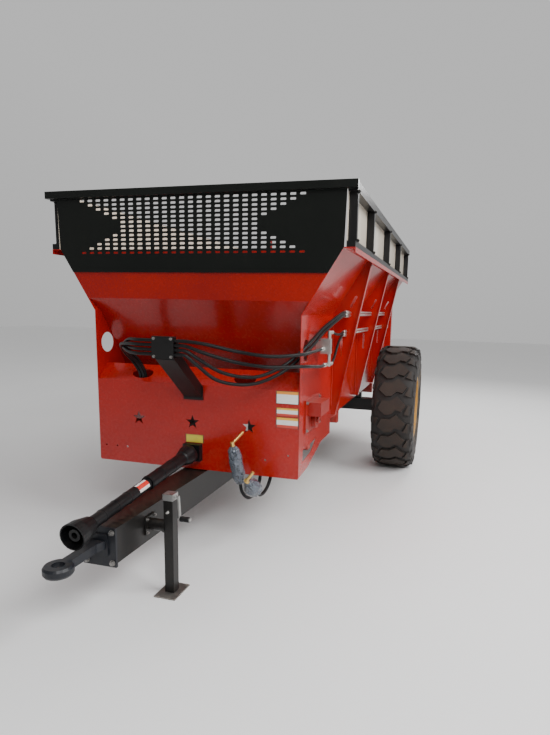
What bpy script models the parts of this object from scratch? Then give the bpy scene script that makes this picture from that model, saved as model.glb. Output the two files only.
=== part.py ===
"""Towed manure spreader: single axle, V-sided hopper, apron floor conveyor, two upright beaters at the rear.

Units are metres. X runs to the machine's left side, Y to the rear, Z up, and the ground is Z = 0.
Every length below is written from the front panel (Y = 0); the last step moves the whole machine along Y
so that the origin lies under the middle of its bounding box.
"""

import math

import bmesh
import bpy
from mathutils import Matrix, Vector

# ---------------------------------------------------------------- driving dimensions

GAP = 0.0003            # seat gap between neighbouring solids
RUN = 0.005             # running clearance of moving pieces
SHEET = 0.005           # hopper sheet thickness

# hopper
HALF = 0.809            # half width over the upright walls
RIM_HALF = 1.085        # half width at the rim
LENGTH = 4.07           # hopper length
RIM_Z = 2.129           # top of the sheet-metal body
BEND_Z = 1.683          # fold between upright and flared wall
RIM_FLANGE = 0.075      # width of the rim flange
RIM_LIP = 0.035         # down-turned lip of the flange
SILL_Z = 0.800          # lower edge of the side walls
CHEEK_Z = 0.537         # lower edge of the side walls at the front

# front
PANEL_Z = 0.530         # lower edge of the front panel
FOLD_Z = 1.165          # fold between panel and lid
LID_Y = 0.126           # rear edge of the lid
LID_Z = 1.280
BAND_Z = RIM_Z - 0.354  # lower edge of the upright front band
BOARD_Z = RIM_Z - 0.166 # lower edge of the front board
WALL_FOOT_Z = 1.025     # lower edge of the sloping front wall
WALL_SLOPE = 0.70       # how far the wall runs back for each metre down
STAR_X = (-0.459, -0.011, 0.435)
STAR_Z = 0.885
STAR_R = 0.056

# grate-like top boards
TOP_Z = RIM_Z + 0.408   # top of the boards' rail
RAIL = 0.050            # rail and post section
FRAME_X = 1.100         # inner plane of the side frames
POST_DEPTH = 0.060
POST_Y = (0.060, 0.800, 1.850, 2.900, LENGTH - 0.120)
PANEL_T = 0.003

# ribs
RIB_Y = (1.020, 2.200, 3.300)
RIB_FOOT = (0.850, 0.820)
RIB_TOP_X = 1.120
RIB_FLANGE = 0.050

# floor
FLOOR_Z = 0.955
SPROCKET_R = 0.052
CHAIN_T = 0.020
CHAIN_X = 0.560
SLAT_HALF = 0.770
SLAT_PITCH = 0.360
SHAFT_FRONT_Y = 0.330
SHAFT_REAR_Y = LENGTH - 0.140
CONVEYOR_SHAFT_R = 0.025

# chassis
LONG_X = 0.500          # centre of each chassis rail
LONG_W = 0.060
LONG_Z = (0.7423, 0.8223)
LONG_END = LENGTH + 0.530
CROSS_Y = (0.300, 1.350, 3.400)
CROSS_W = 0.070
CROSS_TOP = 0.7997

# running gear
AXLE_Y = 2.544
WHEEL_R = 0.674
TRACK_HALF = 1.246
TREAD_W = 0.396
SECTION_W = 0.445
RIM_R = 0.3175
AXLE_BEAM = 0.130
SPINDLE_R = 0.040

# drawbar
BAR_W = 0.194
BAR_Z = (0.316, 0.520)
BAR_FRONT = -1.122
BAR_END = 1.450
PLATE_T = 0.015
EYE_Y = -1.456
EYE_Z = 0.429
EYE_R = 0.075
EYE_HOLE = 0.033
EYE_T = 0.050

# power take-off shaft
PTO_PIVOT = (0.0, -0.085, 0.665)
PTO_DROP = 5.1          # degrees below level
PTO_TUBE = 0.045
PTO_INNER = 0.0365
PTO_CONE = 0.070

# jack
JACK_X = 0.243
JACK_Y = -0.786
JACK_TUBE = 0.060
JACK_TOP = 0.590
JACK_MOUNT_Z = 0.420
FOOT = (0.140, 0.190, 0.008)

# beaters and gate
BEATER_X = 0.400
BEATER_Y = LENGTH + 0.450
BEATER_R = 0.340
BEATER_FOOT = 0.985
BEATER_TOP = RIM_Z + 0.311
GATE_Y = LENGTH + 0.018
GATE_T = 0.008
GATE_HALF = 0.835
GATE_FOOT = 0.9950
GATE_TOP = RIM_Z - 0.024
MAST_TOP = RIM_Z + 0.571
REAR_HALF = 0.830       # inner face of the rear posts
POST_Y0 = LENGTH + 0.430
ARCH_TOP = RIM_Z + 0.451  # top of the rear posts

# hoses
HOSE_D = 0.024
CLAMP_Y = -0.395
CLAMP_HOSES = (1.505, 1.475, 1.445, 1.415)

REAR_REACH = max(LONG_END, BEATER_Y + BEATER_R)
FRONT_REACH = EYE_Y - EYE_R
SHIFT = -(REAR_REACH + FRONT_REACH) / 2


# ---------------------------------------------------------------- helpers

def clear_scene():
    for obj in list(bpy.data.objects):
        bpy.data.objects.remove(obj, do_unlink=True)


def material(name, colour, roughness, metallic=0.0):
    mat = bpy.data.materials.new(name)
    mat.use_nodes = True
    shader = mat.node_tree.nodes["Principled BSDF"]
    shader.inputs["Base Color"].default_value = (*colour, 1.0)
    shader.inputs["Roughness"].default_value = roughness
    shader.inputs["Metallic"].default_value = metallic
    mat.diffuse_color = (*colour, 1.0)
    return mat


def add(name, bm, mat=None, smooth=False):
    """Make an object from a bmesh, with its faces turned outward."""
    bmesh.ops.recalc_face_normals(bm, faces=bm.faces[:])
    mesh = bpy.data.meshes.new(name)
    bm.to_mesh(mesh)
    bm.free()
    obj = bpy.data.objects.new(name, mesh)
    bpy.context.scene.collection.objects.link(obj)
    if mat:
        mesh.materials.append(mat)
    if smooth:
        mesh.shade_smooth()
        mesh.set_sharp_from_angle(angle=math.radians(35))
    return obj


def block(x, y, z, name="block"):
    """Box between the given pairs."""
    bm = bmesh.new()
    size = Vector((x[1] - x[0], y[1] - y[0], z[1] - z[0]))
    mid = Vector((x[1] + x[0], y[1] + y[0], z[1] + z[0])) / 2
    bmesh.ops.create_cube(bm, size=1.0, matrix=Matrix.Translation(mid) @ Matrix.Diagonal((*size, 1.0)))
    return add(name, bm)


def prism(outline, axis, start, end, name="prism"):
    """Extrude an outline along an axis. The outline's two numbers are the other two axes in XYZ order."""
    places = {"x": lambda a, b, t: (t, a, b), "y": lambda a, b, t: (a, t, b), "z": lambda a, b, t: (a, b, t)}
    place = places[axis]
    bm = bmesh.new()
    low = [bm.verts.new(place(a, b, start)) for a, b in outline]
    high = [bm.verts.new(place(a, b, end)) for a, b in outline]
    bm.faces.new(low)
    bm.faces.new(high[::-1])
    for i in range(len(outline)):
        j = (i + 1) % len(outline)
        bm.faces.new((low[i], low[j], high[j], high[i]))
    bmesh.ops.triangulate(bm, faces=[f for f in bm.faces if len(f.verts) > 4])
    return add(name, bm)


def frame_to(start, end):
    """Matrix whose Z axis runs from start to end, with its origin at start."""
    start = Vector(start)
    way = Vector(end) - start
    turn = way.to_track_quat("Z", "Y").to_matrix().to_4x4()
    return Matrix.Translation(start) @ turn


def turned(profile, start, end, segments=32, loop=False, name="turned"):
    """Turn (radius, distance) points about the line from start to end. A loop is a closed ring section."""
    bm = bmesh.new()
    where = frame_to(start, end)
    rings = []
    for radius, distance in profile:
        if radius == 0:
            rings.append([bm.verts.new(where @ Vector((0, 0, distance)))])
            continue
        ring = []
        for k in range(segments):
            angle = 2 * math.pi * k / segments
            point = Vector((radius * math.cos(angle), radius * math.sin(angle), distance))
            ring.append(bm.verts.new(where @ point))
        rings.append(ring)
    pairs = list(zip(rings, rings[1:]))
    if loop:
        pairs.append((rings[-1], rings[0]))
    for first, second in pairs:
        for k in range(segments):
            m = (k + 1) % segments
            if len(first) == 1:
                bm.faces.new((first[0], second[k], second[m]))
            elif len(second) == 1:
                bm.faces.new((first[m], first[k], second[0]))
            else:
                bm.faces.new((first[m], first[k], second[k], second[m]))
    return add(name, bm)


def rod(start, end, radius, segments=16, name="rod"):
    """Round bar between two points."""
    length = (Vector(end) - Vector(start)).length
    return turned([(0, 0), (radius, 0), (radius, length), (0, length)], start, end, segments, name=name)


def beam(start, end, width, depth, name="beam"):
    """Rectangular bar between two points: width across X, depth in the plane of the bar."""
    way = Vector(end) - Vector(start)
    side = Vector((1, 0, 0))
    up = way.cross(side).normalized() * depth / 2
    across = side * width / 2
    bm = bmesh.new()
    ends = []
    for at in (Vector(start), Vector(end)):
        ends.append([bm.verts.new(at + a * across + b * up) for a, b in ((-1, -1), (1, -1), (1, 1), (-1, 1))])
    bm.faces.new(ends[0])
    bm.faces.new(ends[1][::-1])
    for i in range(4):
        j = (i + 1) % 4
        bm.faces.new((ends[0][i], ends[0][j], ends[1][j], ends[1][i]))
    return add(name, bm)


def apply_boolean(obj, others, operation, solver="EXACT"):
    """Apply one boolean after another and drop the helpers."""
    for other in others:
        step = obj.modifiers.new(operation, "BOOLEAN")
        step.operation = operation
        step.solver = solver
        step.object = other
    graph = bpy.context.evaluated_depsgraph_get()
    mesh = bpy.data.meshes.new_from_object(obj.evaluated_get(graph))
    obj.modifiers.clear()
    obj.data = mesh
    for other in others:
        bpy.data.objects.remove(other, do_unlink=True)
    return obj


def fuse(*parts):
    return apply_boolean(parts[0], list(parts[1:]), "UNION")


def fuse_closed(*parts):
    """Union with the manifold solver, for round pieces that share planes and axes."""
    return apply_boolean(parts[0], list(parts[1:]), "UNION", "MANIFOLD")


def cut(obj, *cutters):
    return apply_boolean(obj, list(cutters), "DIFFERENCE")


def keep_inside(obj, form):
    return apply_boolean(obj, [form], "INTERSECT")


def finish(obj, name, mat, smooth=False):
    """Name a finished node and give it its material."""
    obj.name = name
    obj.data.name = name
    obj.data.materials.clear()
    obj.data.materials.append(mat)
    if smooth:
        obj.data.shade_smooth()
        obj.data.set_sharp_from_angle(angle=math.radians(35))
    return obj


def set_origin(obj, point):
    """Move the object's origin to a point without moving its shape."""
    shift = Vector(point) - obj.location
    obj.data.transform(Matrix.Translation(-shift))
    obj.location = Vector(point)
    return obj


def offset_line(points, distance):
    """Shift an open line sideways with mitred corners. A positive distance goes to its left."""
    shifted = []
    normals = []
    for a, b in zip(points, points[1:]):
        way = Vector((b[0] - a[0], b[1] - a[1])).normalized()
        normals.append(Vector((-way.y, way.x)))
    for i, point in enumerate(points):
        before = normals[max(i - 1, 0)]
        after = normals[min(i, len(normals) - 1)]
        mitre = (before + after).normalized()
        scale = distance / mitre.dot(after)
        shifted.append((point[0] + mitre.x * scale, point[1] + mitre.y * scale))
    return shifted


def strip(points, thickness):
    """Closed outline of a bent sheet whose one face is the given line."""
    return list(points) + offset_line(points, thickness)[::-1]


def mirrored(obj, name, mat=None):
    """Copy across X = 0, with the mesh itself mirrored."""
    mesh = obj.data.copy()
    place = obj.matrix_basis.copy()
    mesh.transform(Matrix.Diagonal((-1, 1, 1, 1)))
    mesh.flip_normals()
    twin = bpy.data.objects.new(name, mesh)
    twin.location = (-place.translation.x, place.translation.y, place.translation.z)
    bpy.context.scene.collection.objects.link(twin)
    mesh.name = name
    if mat:
        mesh.materials.clear()
        mesh.materials.append(mat)
    return twin


def smooth_route(points, spacing):
    """Evenly spaced points on a centripetal Catmull-Rom curve through the route's own points."""
    pts = [Vector(p) for p in points]
    pts = [pts[0] * 2 - pts[1]] + pts + [pts[-1] * 2 - pts[-2]]
    fine = []
    for p0, p1, p2, p3 in zip(pts, pts[1:], pts[2:], pts[3:]):
        t1 = (p1 - p0).length ** 0.5
        t2 = t1 + (p2 - p1).length ** 0.5
        t3 = t2 + (p3 - p2).length ** 0.5
        for k in range(24):
            t = t1 + (t2 - t1) * k / 24
            a1 = p0 * ((t1 - t) / t1) + p1 * (t / t1)
            a2 = p1 * ((t2 - t) / (t2 - t1)) + p2 * ((t - t1) / (t2 - t1))
            a3 = p2 * ((t3 - t) / (t3 - t2)) + p3 * ((t - t2) / (t3 - t2))
            b1 = a1 * ((t2 - t) / t2) + a2 * (t / t2)
            b2 = a2 * ((t3 - t) / (t3 - t1)) + a3 * ((t - t1) / (t3 - t1))
            fine.append(b1 * ((t2 - t) / (t2 - t1)) + b2 * ((t - t1) / (t2 - t1)))
    fine.append(pts[-2])
    lengths = [0.0]
    for a, b in zip(fine, fine[1:]):
        lengths.append(lengths[-1] + (b - a).length)
    count = max(4, round(lengths[-1] / spacing))
    even = []
    k = 0
    for i in range(count + 1):
        goal = lengths[-1] * i / count
        while k < len(fine) - 2 and lengths[k + 1] < goal:
            k += 1
        share = (goal - lengths[k]) / (lengths[k + 1] - lengths[k])
        even.append(fine[k].lerp(fine[k + 1], share))
    return even


def tube(name, points, diameter, mat, resolution=2):
    """Round tube along points, with filled ends."""
    curve = bpy.data.curves.new(name, "CURVE")
    curve.dimensions = "3D"
    curve.bevel_depth = diameter / 2
    curve.bevel_resolution = resolution
    curve.use_fill_caps = True
    line = curve.splines.new("POLY")
    line.points.add(len(points) - 1)
    for point, place in zip(line.points, points):
        point.co = (*place, 1.0)
    obj = bpy.data.objects.new(name, curve)
    bpy.context.scene.collection.objects.link(obj)
    curve.materials.append(mat)
    return obj


def tube_mesh(points, diameter, resolution=2):
    """The same tube as a mesh, for booleans."""
    obj = tube("tube", points, diameter, None, resolution)
    graph = bpy.context.evaluated_depsgraph_get()
    mesh = bpy.data.meshes.new_from_object(obj.evaluated_get(graph))
    bpy.data.objects.remove(obj, do_unlink=True)
    bm = bmesh.new()
    bm.from_mesh(mesh)
    bmesh.ops.remove_doubles(bm, verts=bm.verts[:], dist=1e-6)
    return add("tube", bm)


# ---------------------------------------------------------------- outlines shared by several pieces

WALL_LINE = ((HALF, CHEEK_Z - 0.05), (HALF, BEND_Z), (RIM_HALF, RIM_Z))


def wall_x(z, inset=0.0):
    """Half width of the hopper's outer face at a height, less an inset square to the sheet."""
    if z <= BEND_Z:
        return HALF - inset
    slope = (RIM_HALF - HALF) / (RIM_Z - BEND_Z)
    return HALF + slope * (z - BEND_Z) - inset * math.hypot(1.0, slope)


def inner_section(inset, low, high):
    """Outline (x, z) of the hopper's inside, shrunk by the inset."""
    xs = [(wall_x(low, inset), low), (wall_x(BEND_Z, inset), BEND_Z), (wall_x(high, inset), high)]
    return xs + [(-x, z) for x, z in reversed(xs)]


def front_wall_y(z):
    """Front face of the sloping front wall."""
    return max(0.0, (BAND_Z - z) * WALL_SLOPE)


def lid_y(z):
    return LID_Y * (z - FOLD_Z) / (LID_Z - FOLD_Z)


def rib_outer_x(z):
    share = (z - RIB_FOOT[1]) / (RIM_Z - SHEET - RIB_FOOT[1])
    return RIB_FOOT[0] + (RIB_TOP_X - RIB_FOOT[0]) * share


# ---------------------------------------------------------------- hopper

PIPE_D = 0.018
UPPER_PIPES = ((0.947, 1.707), (0.947, 1.683))
LOWER_PIPES = ((0.918, 1.546), (0.918, 1.522))
CHEEK_HOLE = (0.135, 1.440, 0.0775)


def make_rib(y):
    """Web with its outer flange, reaching into the wall sheet so that it fuses with it."""
    top = RIM_Z - SHEET
    inner = [(wall_x(RIB_FOOT[1], 0.002), RIB_FOOT[1]), (wall_x(BEND_Z, 0.002), BEND_Z)]
    inner.append((wall_x(top + 0.002, 0.002), top + 0.002))
    outer = [(RIB_FOOT[0], RIB_FOOT[1]), (rib_outer_x(top + 0.002), top + 0.002)]
    web = prism(inner + outer[::-1], "y", y - SHEET / 2, y + SHEET / 2)
    edge = [(RIB_FOOT[0], RIB_FOOT[1]), (rib_outer_x(top + 0.002), top + 0.002)]
    flange = prism(strip(edge, SHEET), "y", y - RIB_FLANGE / 2, y + RIB_FLANGE / 2)
    rib = fuse(web, flange)
    lean = (1.000, 1.845)
    foot = (0.953, 1.750)
    way = Vector((lean[0] - foot[0], lean[1] - foot[1])).normalized() * 0.010
    side = Vector((-way.y, way.x))
    upper = [(foot[0] - side.x, foot[1] - side.y), (lean[0] - side.x, lean[1] - side.y)]
    upper += [(lean[0] + side.x, lean[1] + side.y), (foot[0] + side.x, foot[1] + side.y)]
    lower = [(0.872, 1.330), (0.892, 1.330), (0.892, 1.490), (0.872, 1.490)]
    cutters = [prism(upper, "y", y - 0.05, y + 0.05), prism(lower, "y", y - 0.05, y + 0.05)]
    for x, z in UPPER_PIPES + LOWER_PIPES:
        cutters.append(rod((x, y - 0.05, z), (x, y + 0.05, z), PIPE_D / 2 + 0.0009, 10))
    return cut(rib, *cutters)


def make_hopper_sides(red):
    inner = [(HALF - SHEET, BEND_Z), (HALF - SHEET, CHEEK_Z - 0.02)]
    wall = [(HALF, CHEEK_Z - 0.02), (wall_x(BEND_Z), BEND_Z), (wall_x(RIM_Z - SHEET), RIM_Z - SHEET)]
    flange = [(RIM_HALF + RIM_FLANGE - SHEET, RIM_Z - SHEET), (RIM_HALF + RIM_FLANGE - SHEET, RIM_Z - RIM_LIP)]
    flange += [(RIM_HALF + RIM_FLANGE, RIM_Z - RIM_LIP), (RIM_HALF + RIM_FLANGE, RIM_Z)]
    outline = wall + flange + [(wall_x(RIM_Z, SHEET), RIM_Z)] + inner
    side = prism(outline, "y", 0.0, LENGTH)
    low = CHEEK_Z - 0.10
    under = [(-0.1, low), (-0.1, CHEEK_Z), (0.0, CHEEK_Z), (0.246, CHEEK_Z + 0.015), (0.658, 0.659)]
    under += [(0.988, 0.659), (0.988, SILL_Z - 0.010), (1.243, SILL_Z - 0.036), (1.403, SILL_Z)]
    under += [(LENGTH + 0.1, SILL_Z), (LENGTH + 0.1, low)]
    window = [(0.105, 0.630), (0.105, 0.722), (0.200, 0.716), (0.520, 0.727), (0.349, 0.650)]
    y, z, r = CHEEK_HOLE
    cutters = [prism(under, "x", 0.7, 1.3), prism(window, "x", 0.7, 0.9)]
    cutters.append(rod((0.7, y, z), (0.9, y, z), r, 24))
    for shaft_y in (SHAFT_FRONT_Y, SHAFT_REAR_Y):
        at = FLOOR_Z + 0.026 - SPROCKET_R - CHAIN_T
        cutters.append(rod((0.7, shaft_y, at), (0.9, shaft_y, at), CONVEYOR_SHAFT_R + 0.0006, 32))
    side = cut(side, *cutters)
    end_in = wall_x(BEND_Z, 0.002)
    corner = [(end_in, BEND_Z), (wall_x(RIM_Z - 0.008, 0.002), RIM_Z - 0.008), (end_in, RIM_Z - 0.008)]
    end_plate = prism(corner, "y", LENGTH - SHEET, LENGTH)
    ribs = [make_rib(y) for y in RIB_Y]
    left = finish(fuse(side, end_plate, *ribs), "hopper_side_left", red)
    mirrored(left, "hopper_side_right", red)


def make_front_wall(red):
    top = RIM_Z - 0.005
    foot_y = front_wall_y(WALL_FOOT_Z)
    line = [(foot_y, WALL_FOOT_Z), (0.0, BAND_Z), (0.0, top)]
    sheet = prism(strip(line, -SHEET), "x", -1.2, 1.2)
    form = prism(inner_section(SHEET + GAP, 0.9, top + 0.1), "y", -0.5, 1.0)
    finish(keep_inside(sheet, form), "front_wall", red)


def star(x, z, radius):
    points = []
    for k in range(10):
        reach = radius if k % 2 == 0 else radius * 0.40
        angle = math.pi / 2 + k * math.pi / 5
        points.append((x + reach * math.cos(angle), z + reach * math.sin(angle)))
    return prism(points, "y", -0.05, 0.05)


def make_front_housing(red):
    half = HALF - SHEET - GAP
    line = [(0.038, PANEL_Z), (0.0, PANEL_Z), (0.0, FOLD_Z), (LID_Y, LID_Z), (LID_Y + 0.004, LID_Z - 0.045)]
    sheet = prism(strip(line, -SHEET), "x", -half, half)
    cutters = [star(x, STAR_Z, STAR_R) for x in STAR_X]
    for x in (-0.450, 0.380):
        oval = []
        for k in range(24):
            angle = 2 * math.pi * k / 24
            oval.append((x + 0.085 * math.cos(angle), 0.060 + 0.036 * math.sin(angle)))
        cutters.append(prism(oval, "z", 1.15, 1.30))
    for x, z in ((-0.750, 0.650), (-0.655, 0.650), (-0.567, 0.650), (0.731, 0.698), (0.560, 0.650)):
        cutters.append(rod((x, -0.05, z), (x, 0.05, z), 0.008, 12))
    cutters.append(rod((0.0, -0.05, PTO_PIVOT[2]), (0.0, 0.05, PTO_PIVOT[2]), 0.050, 32))
    finish(cut(sheet, *cutters), "front_housing", red)


def make_floor(red, steel):
    y0 = SHAFT_FRONT_Y + 0.075
    y1 = SHAFT_REAR_Y - 0.075
    half = HALF - SHEET - GAP
    finish(block((-half, half), (y0, y1), (FLOOR_Z, FLOOR_Z + SHEET)), "hopper_floor", red)
    axis_z = FLOOR_Z + 0.026 - SPROCKET_R - CHAIN_T
    top = FLOOR_Z + SHEET + GAP
    bottom = 2 * axis_z - top
    reach = (top - bottom) / 2
    loops = []
    for x in (-CHAIN_X, CHAIN_X):
        for_outer = loop_outline(reach + CHAIN_T, axis_z)
        for_inner = loop_outline(reach, axis_z)
        outer = prism(for_outer, "x", x - 0.016, x + 0.016)
        loops.append(cut(outer, prism(for_inner, "x", x - 0.05, x + 0.05)))
    slats = []
    count = int((SHAFT_REAR_Y - SHAFT_FRONT_Y) / SLAT_PITCH)
    for k in range(count):
        y = SHAFT_FRONT_Y + 0.09 + k * SLAT_PITCH
        slats.append(block((-SLAT_HALF, SLAT_HALF), (y, y + 0.030), (top + 0.0003, top + CHAIN_T + 0.010)))
        y = SHAFT_FRONT_Y + 0.09 + (k + 0.5) * SLAT_PITCH
        slats.append(block((-SLAT_HALF, SLAT_HALF), (y, y + 0.030), (bottom - CHAIN_T + 0.004, bottom)))
    finish(fuse(*loops, *slats), "conveyor_chain", steel)


def loop_outline(radius, axis_z):
    """Racetrack (y, z) around both conveyor shafts."""
    points = []
    for k in range(9):
        angle = math.pi / 2 + math.pi * k / 8
        points.append((SHAFT_FRONT_Y + radius * math.cos(angle), axis_z + radius * math.sin(angle)))
    for k in range(9):
        angle = -math.pi / 2 + math.pi * k / 8
        points.append((SHAFT_REAR_Y + radius * math.cos(angle), axis_z + radius * math.sin(angle)))
    return points


def make_conveyor_shafts(red, steel):
    axis_z = FLOOR_Z + 0.026 - SPROCKET_R - CHAIN_T
    reach = FLOOR_Z + SHEET + GAP - axis_z
    out = HALF + 0.060
    for name, y in (("conveyor_shaft_front", SHAFT_FRONT_Y), ("conveyor_shaft_rear", SHAFT_REAR_Y)):
        parts = [rod((-out, y, axis_z), (out, y, axis_z), CONVEYOR_SHAFT_R, 24)]
        for x in (-CHAIN_X, CHAIN_X):
            parts.append(rod((x - 0.010, y, axis_z), (x + 0.010, y, axis_z), reach - 0.0012, 24))
        for side in (-1, 1):
            face = side * (HALF + GAP)
            low, high = sorted((face, side * (HALF + 0.045)))
            parts.append(rod((low, y, axis_z), (high, y, axis_z), 0.062, 24))
            low, high = sorted((face, side * (HALF + 0.014)))
            parts.append(block((low, high), (y - 0.105, y + 0.105), (axis_z - 0.060, axis_z + 0.060)))
        if y == SHAFT_FRONT_Y:
            x0 = HALF + GAP
            parts.append(block((x0, x0 + 0.110), (y - 0.150, y + 0.120), (axis_z + 0.050, axis_z + 0.150)))
            parts.append(block((x0, x0 + 0.012), (y - 0.200, y + 0.200), (axis_z - 0.075, axis_z + 0.170)))
        else:
            x0 = HALF + GAP
            parts.append(block((x0, x0 + 0.130), (y - 0.090, y + 0.090), (axis_z - 0.100, axis_z + 0.100)))
            parts.append(rod((x0 + 0.07, y, axis_z), (x0 + 0.07, y, axis_z + 0.220), 0.045, 24))
        finish(fuse_closed(*parts), name, red)


# ---------------------------------------------------------------- boards above the hopper

def make_boards(black, cream):
    face = -0.0043
    low = wall_x(BOARD_Z)
    outline = [(-low, BOARD_Z), (low, BOARD_Z), (RIM_HALF, RIM_Z), (1.095, TOP_Z - 0.02)]
    outline += [(-1.095, TOP_Z - 0.02), (-RIM_HALF, RIM_Z)]
    board = prism(outline, "y", face, -GAP)
    rail = block((-1.170, 1.170), (-0.042, -GAP), (TOP_Z - RAIL, TOP_Z))
    foot = block((-low + 0.02, low - 0.02), (-0.012, -GAP), (BOARD_Z, BOARD_Z + 0.025))
    finish(fuse(board, rail, foot), "front_board", black)
    x0 = FRAME_X
    x1 = FRAME_X + POST_DEPTH
    z0 = RIM_Z + GAP
    parts = [block((x0, x1), (0.0, LENGTH), (TOP_Z - POST_DEPTH, TOP_Z))]
    parts.append(block((x0, x1 - 0.002), (0.0, LENGTH), (z0, z0 + 0.040)))
    for y in POST_Y:
        parts.append(block((x0 + 0.001, x1 - 0.003), (y - 0.020, y + 0.020), (z0 + 0.01, TOP_Z - 0.01)))
    frame = finish(fuse(*parts), "side_frame_left", black)
    mirrored(frame, "side_frame_right", black)
    sheet = block((x0 - GAP - PANEL_T, x0 - GAP), (0.004, LENGTH - 0.01), (z0, TOP_Z - 0.005))
    finish(sheet, "side_panel_left", cream)
    mirrored(sheet, "side_panel_right", cream)


# ---------------------------------------------------------------- chassis

def make_chassis(black, red):
    half_w = LONG_W / 2
    z0, z1 = LONG_Z
    rail = finish(block((LONG_X - half_w, LONG_X + half_w), (0.10, LONG_END), LONG_Z), "rail_left", black)
    mirrored(rail, "rail_right", black)
    for name, y in zip(("cross_front", "cross_middle", "cross_rear"), CROSS_Y):
        inner = LONG_X - half_w - GAP
        reach = HALF - SHEET - GAP if y < 1.6 else HALF + 0.02
        y0, y1 = y - CROSS_W / 2, y + CROSS_W / 2
        under = block((-reach, reach), (y0, y1), (z0 - 0.060, z0 - GAP))
        posts = []
        for side in (-1, 1):
            low, high = sorted((side * (LONG_X + half_w + GAP), side * reach))
            posts.append(block((low, high), (y0, y1), (z0 - 0.020, CROSS_TOP)))
        posts.append(block((-inner, inner), (y0, y1), (z0 - 0.020, z0 + 0.030)))
        finish(fuse(under, *posts), name, black)


def make_axle(black):
    half = AXLE_BEAM / 2
    z = WHEEL_R
    inner_face = TRACK_HALF - 0.130
    parts = [block((-inner_face + 0.03, inner_face - 0.03), (AXLE_Y - half, AXLE_Y + half), (z - half, z + half))]
    for side in (-1, 1):
        parts.append(rod((side * (inner_face - 0.06), AXLE_Y, z), (side * (TRACK_HALF + 0.11), AXLE_Y, z), SPINDLE_R, 32))
        parts.append(rod((side * (inner_face - 0.035), AXLE_Y, z), (side * (inner_face - 0.005), AXLE_Y, z), 0.075, 32))
        low, high = sorted((side * (LONG_X - 0.060), side * (LONG_X + 0.060)))
        top = LONG_Z[0] - GAP
        parts.append(block((low, high), (AXLE_Y - 0.11, AXLE_Y + 0.11), (z + half - 0.008, top)))
    for side in (-1, 1):
        low, high = sorted((side * (LONG_X + 0.050), side * (HALF + 0.02)))
        parts.append(block((low, high), (AXLE_Y - 0.035, AXLE_Y + 0.035), (z + half - 0.01, CROSS_TOP)))
    finish(fuse(*parts), "axle_beam", black)


def make_wheels(yellow, rubber):
    x = TRACK_HALF
    z = WHEEL_R
    half_t = TREAD_W / 2
    bulge = SECTION_W / 2
    wall = 0.030
    seat = RIM_R + GAP
    outer = [(seat, -0.178), (seat + 0.030, -0.190), (0.420, -0.212), (0.500, -bulge), (0.640, -half_t)]
    outer += [(WHEEL_R, -half_t + 0.030)]
    outer += [(r, -t) for r, t in reversed(outer)]
    inner = [(seat, 0.140), (0.420, 0.165), (0.520, bulge - wall), (0.610, 0.150)]
    inner += [(r, -t) for r, t in reversed(inner)]
    tyre = turned(outer + inner, (x, AXLE_Y, z), (x + 1, AXLE_Y, z), 32, loop=True)
    finish(tyre, "tyre_left", rubber, smooth=True)
    set_origin(tyre, (x, AXLE_Y, z))
    mirrored(tyre, "tyre_right", rubber)
    flange = RIM_R + 0.024
    edge = 0.178 + GAP
    # the barrel, its two flanges outside the tyre's beads, and the dish
    barrel = [(RIM_R - 0.012, -0.200), (flange, -0.200), (flange, -0.192 - GAP), (RIM_R + 0.0, -edge)]
    barrel += [(RIM_R, edge), (flange, 0.192 + GAP), (flange, 0.200), (RIM_R - 0.012, 0.200)]
    ring = turned(barrel, (x, AXLE_Y, z), (x + 1, AXLE_Y, z), 32, loop=True)
    bore = SPINDLE_R + 0.0009
    dish = [(bore, -0.030), (0.105, -0.030), (0.125, 0.010), (0.230, 0.040), (RIM_R - 0.006, 0.040)]
    dish += [(RIM_R - 0.006, 0.052), (0.225, 0.052), (0.120, 0.024), (0.090, 0.030), (0.085, 0.100), (bore, 0.100)]
    centre = turned(dish, (x, AXLE_Y, z), (x + 1, AXLE_Y, z), 32, loop=True)
    hub = turned([(bore, -0.125), (0.070, -0.125), (0.080, -0.02), (bore, -0.02)],
                 (x, AXLE_Y, z), (x + 1, AXLE_Y, z), 32, loop=True)
    wheel = finish(fuse_closed(ring, centre, hub), "wheel_left", yellow, smooth=True)
    set_origin(wheel, (x, AXLE_Y, z))
    mirrored(wheel, "wheel_right", yellow)


# ---------------------------------------------------------------- drawbar, hitch and jack

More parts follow.
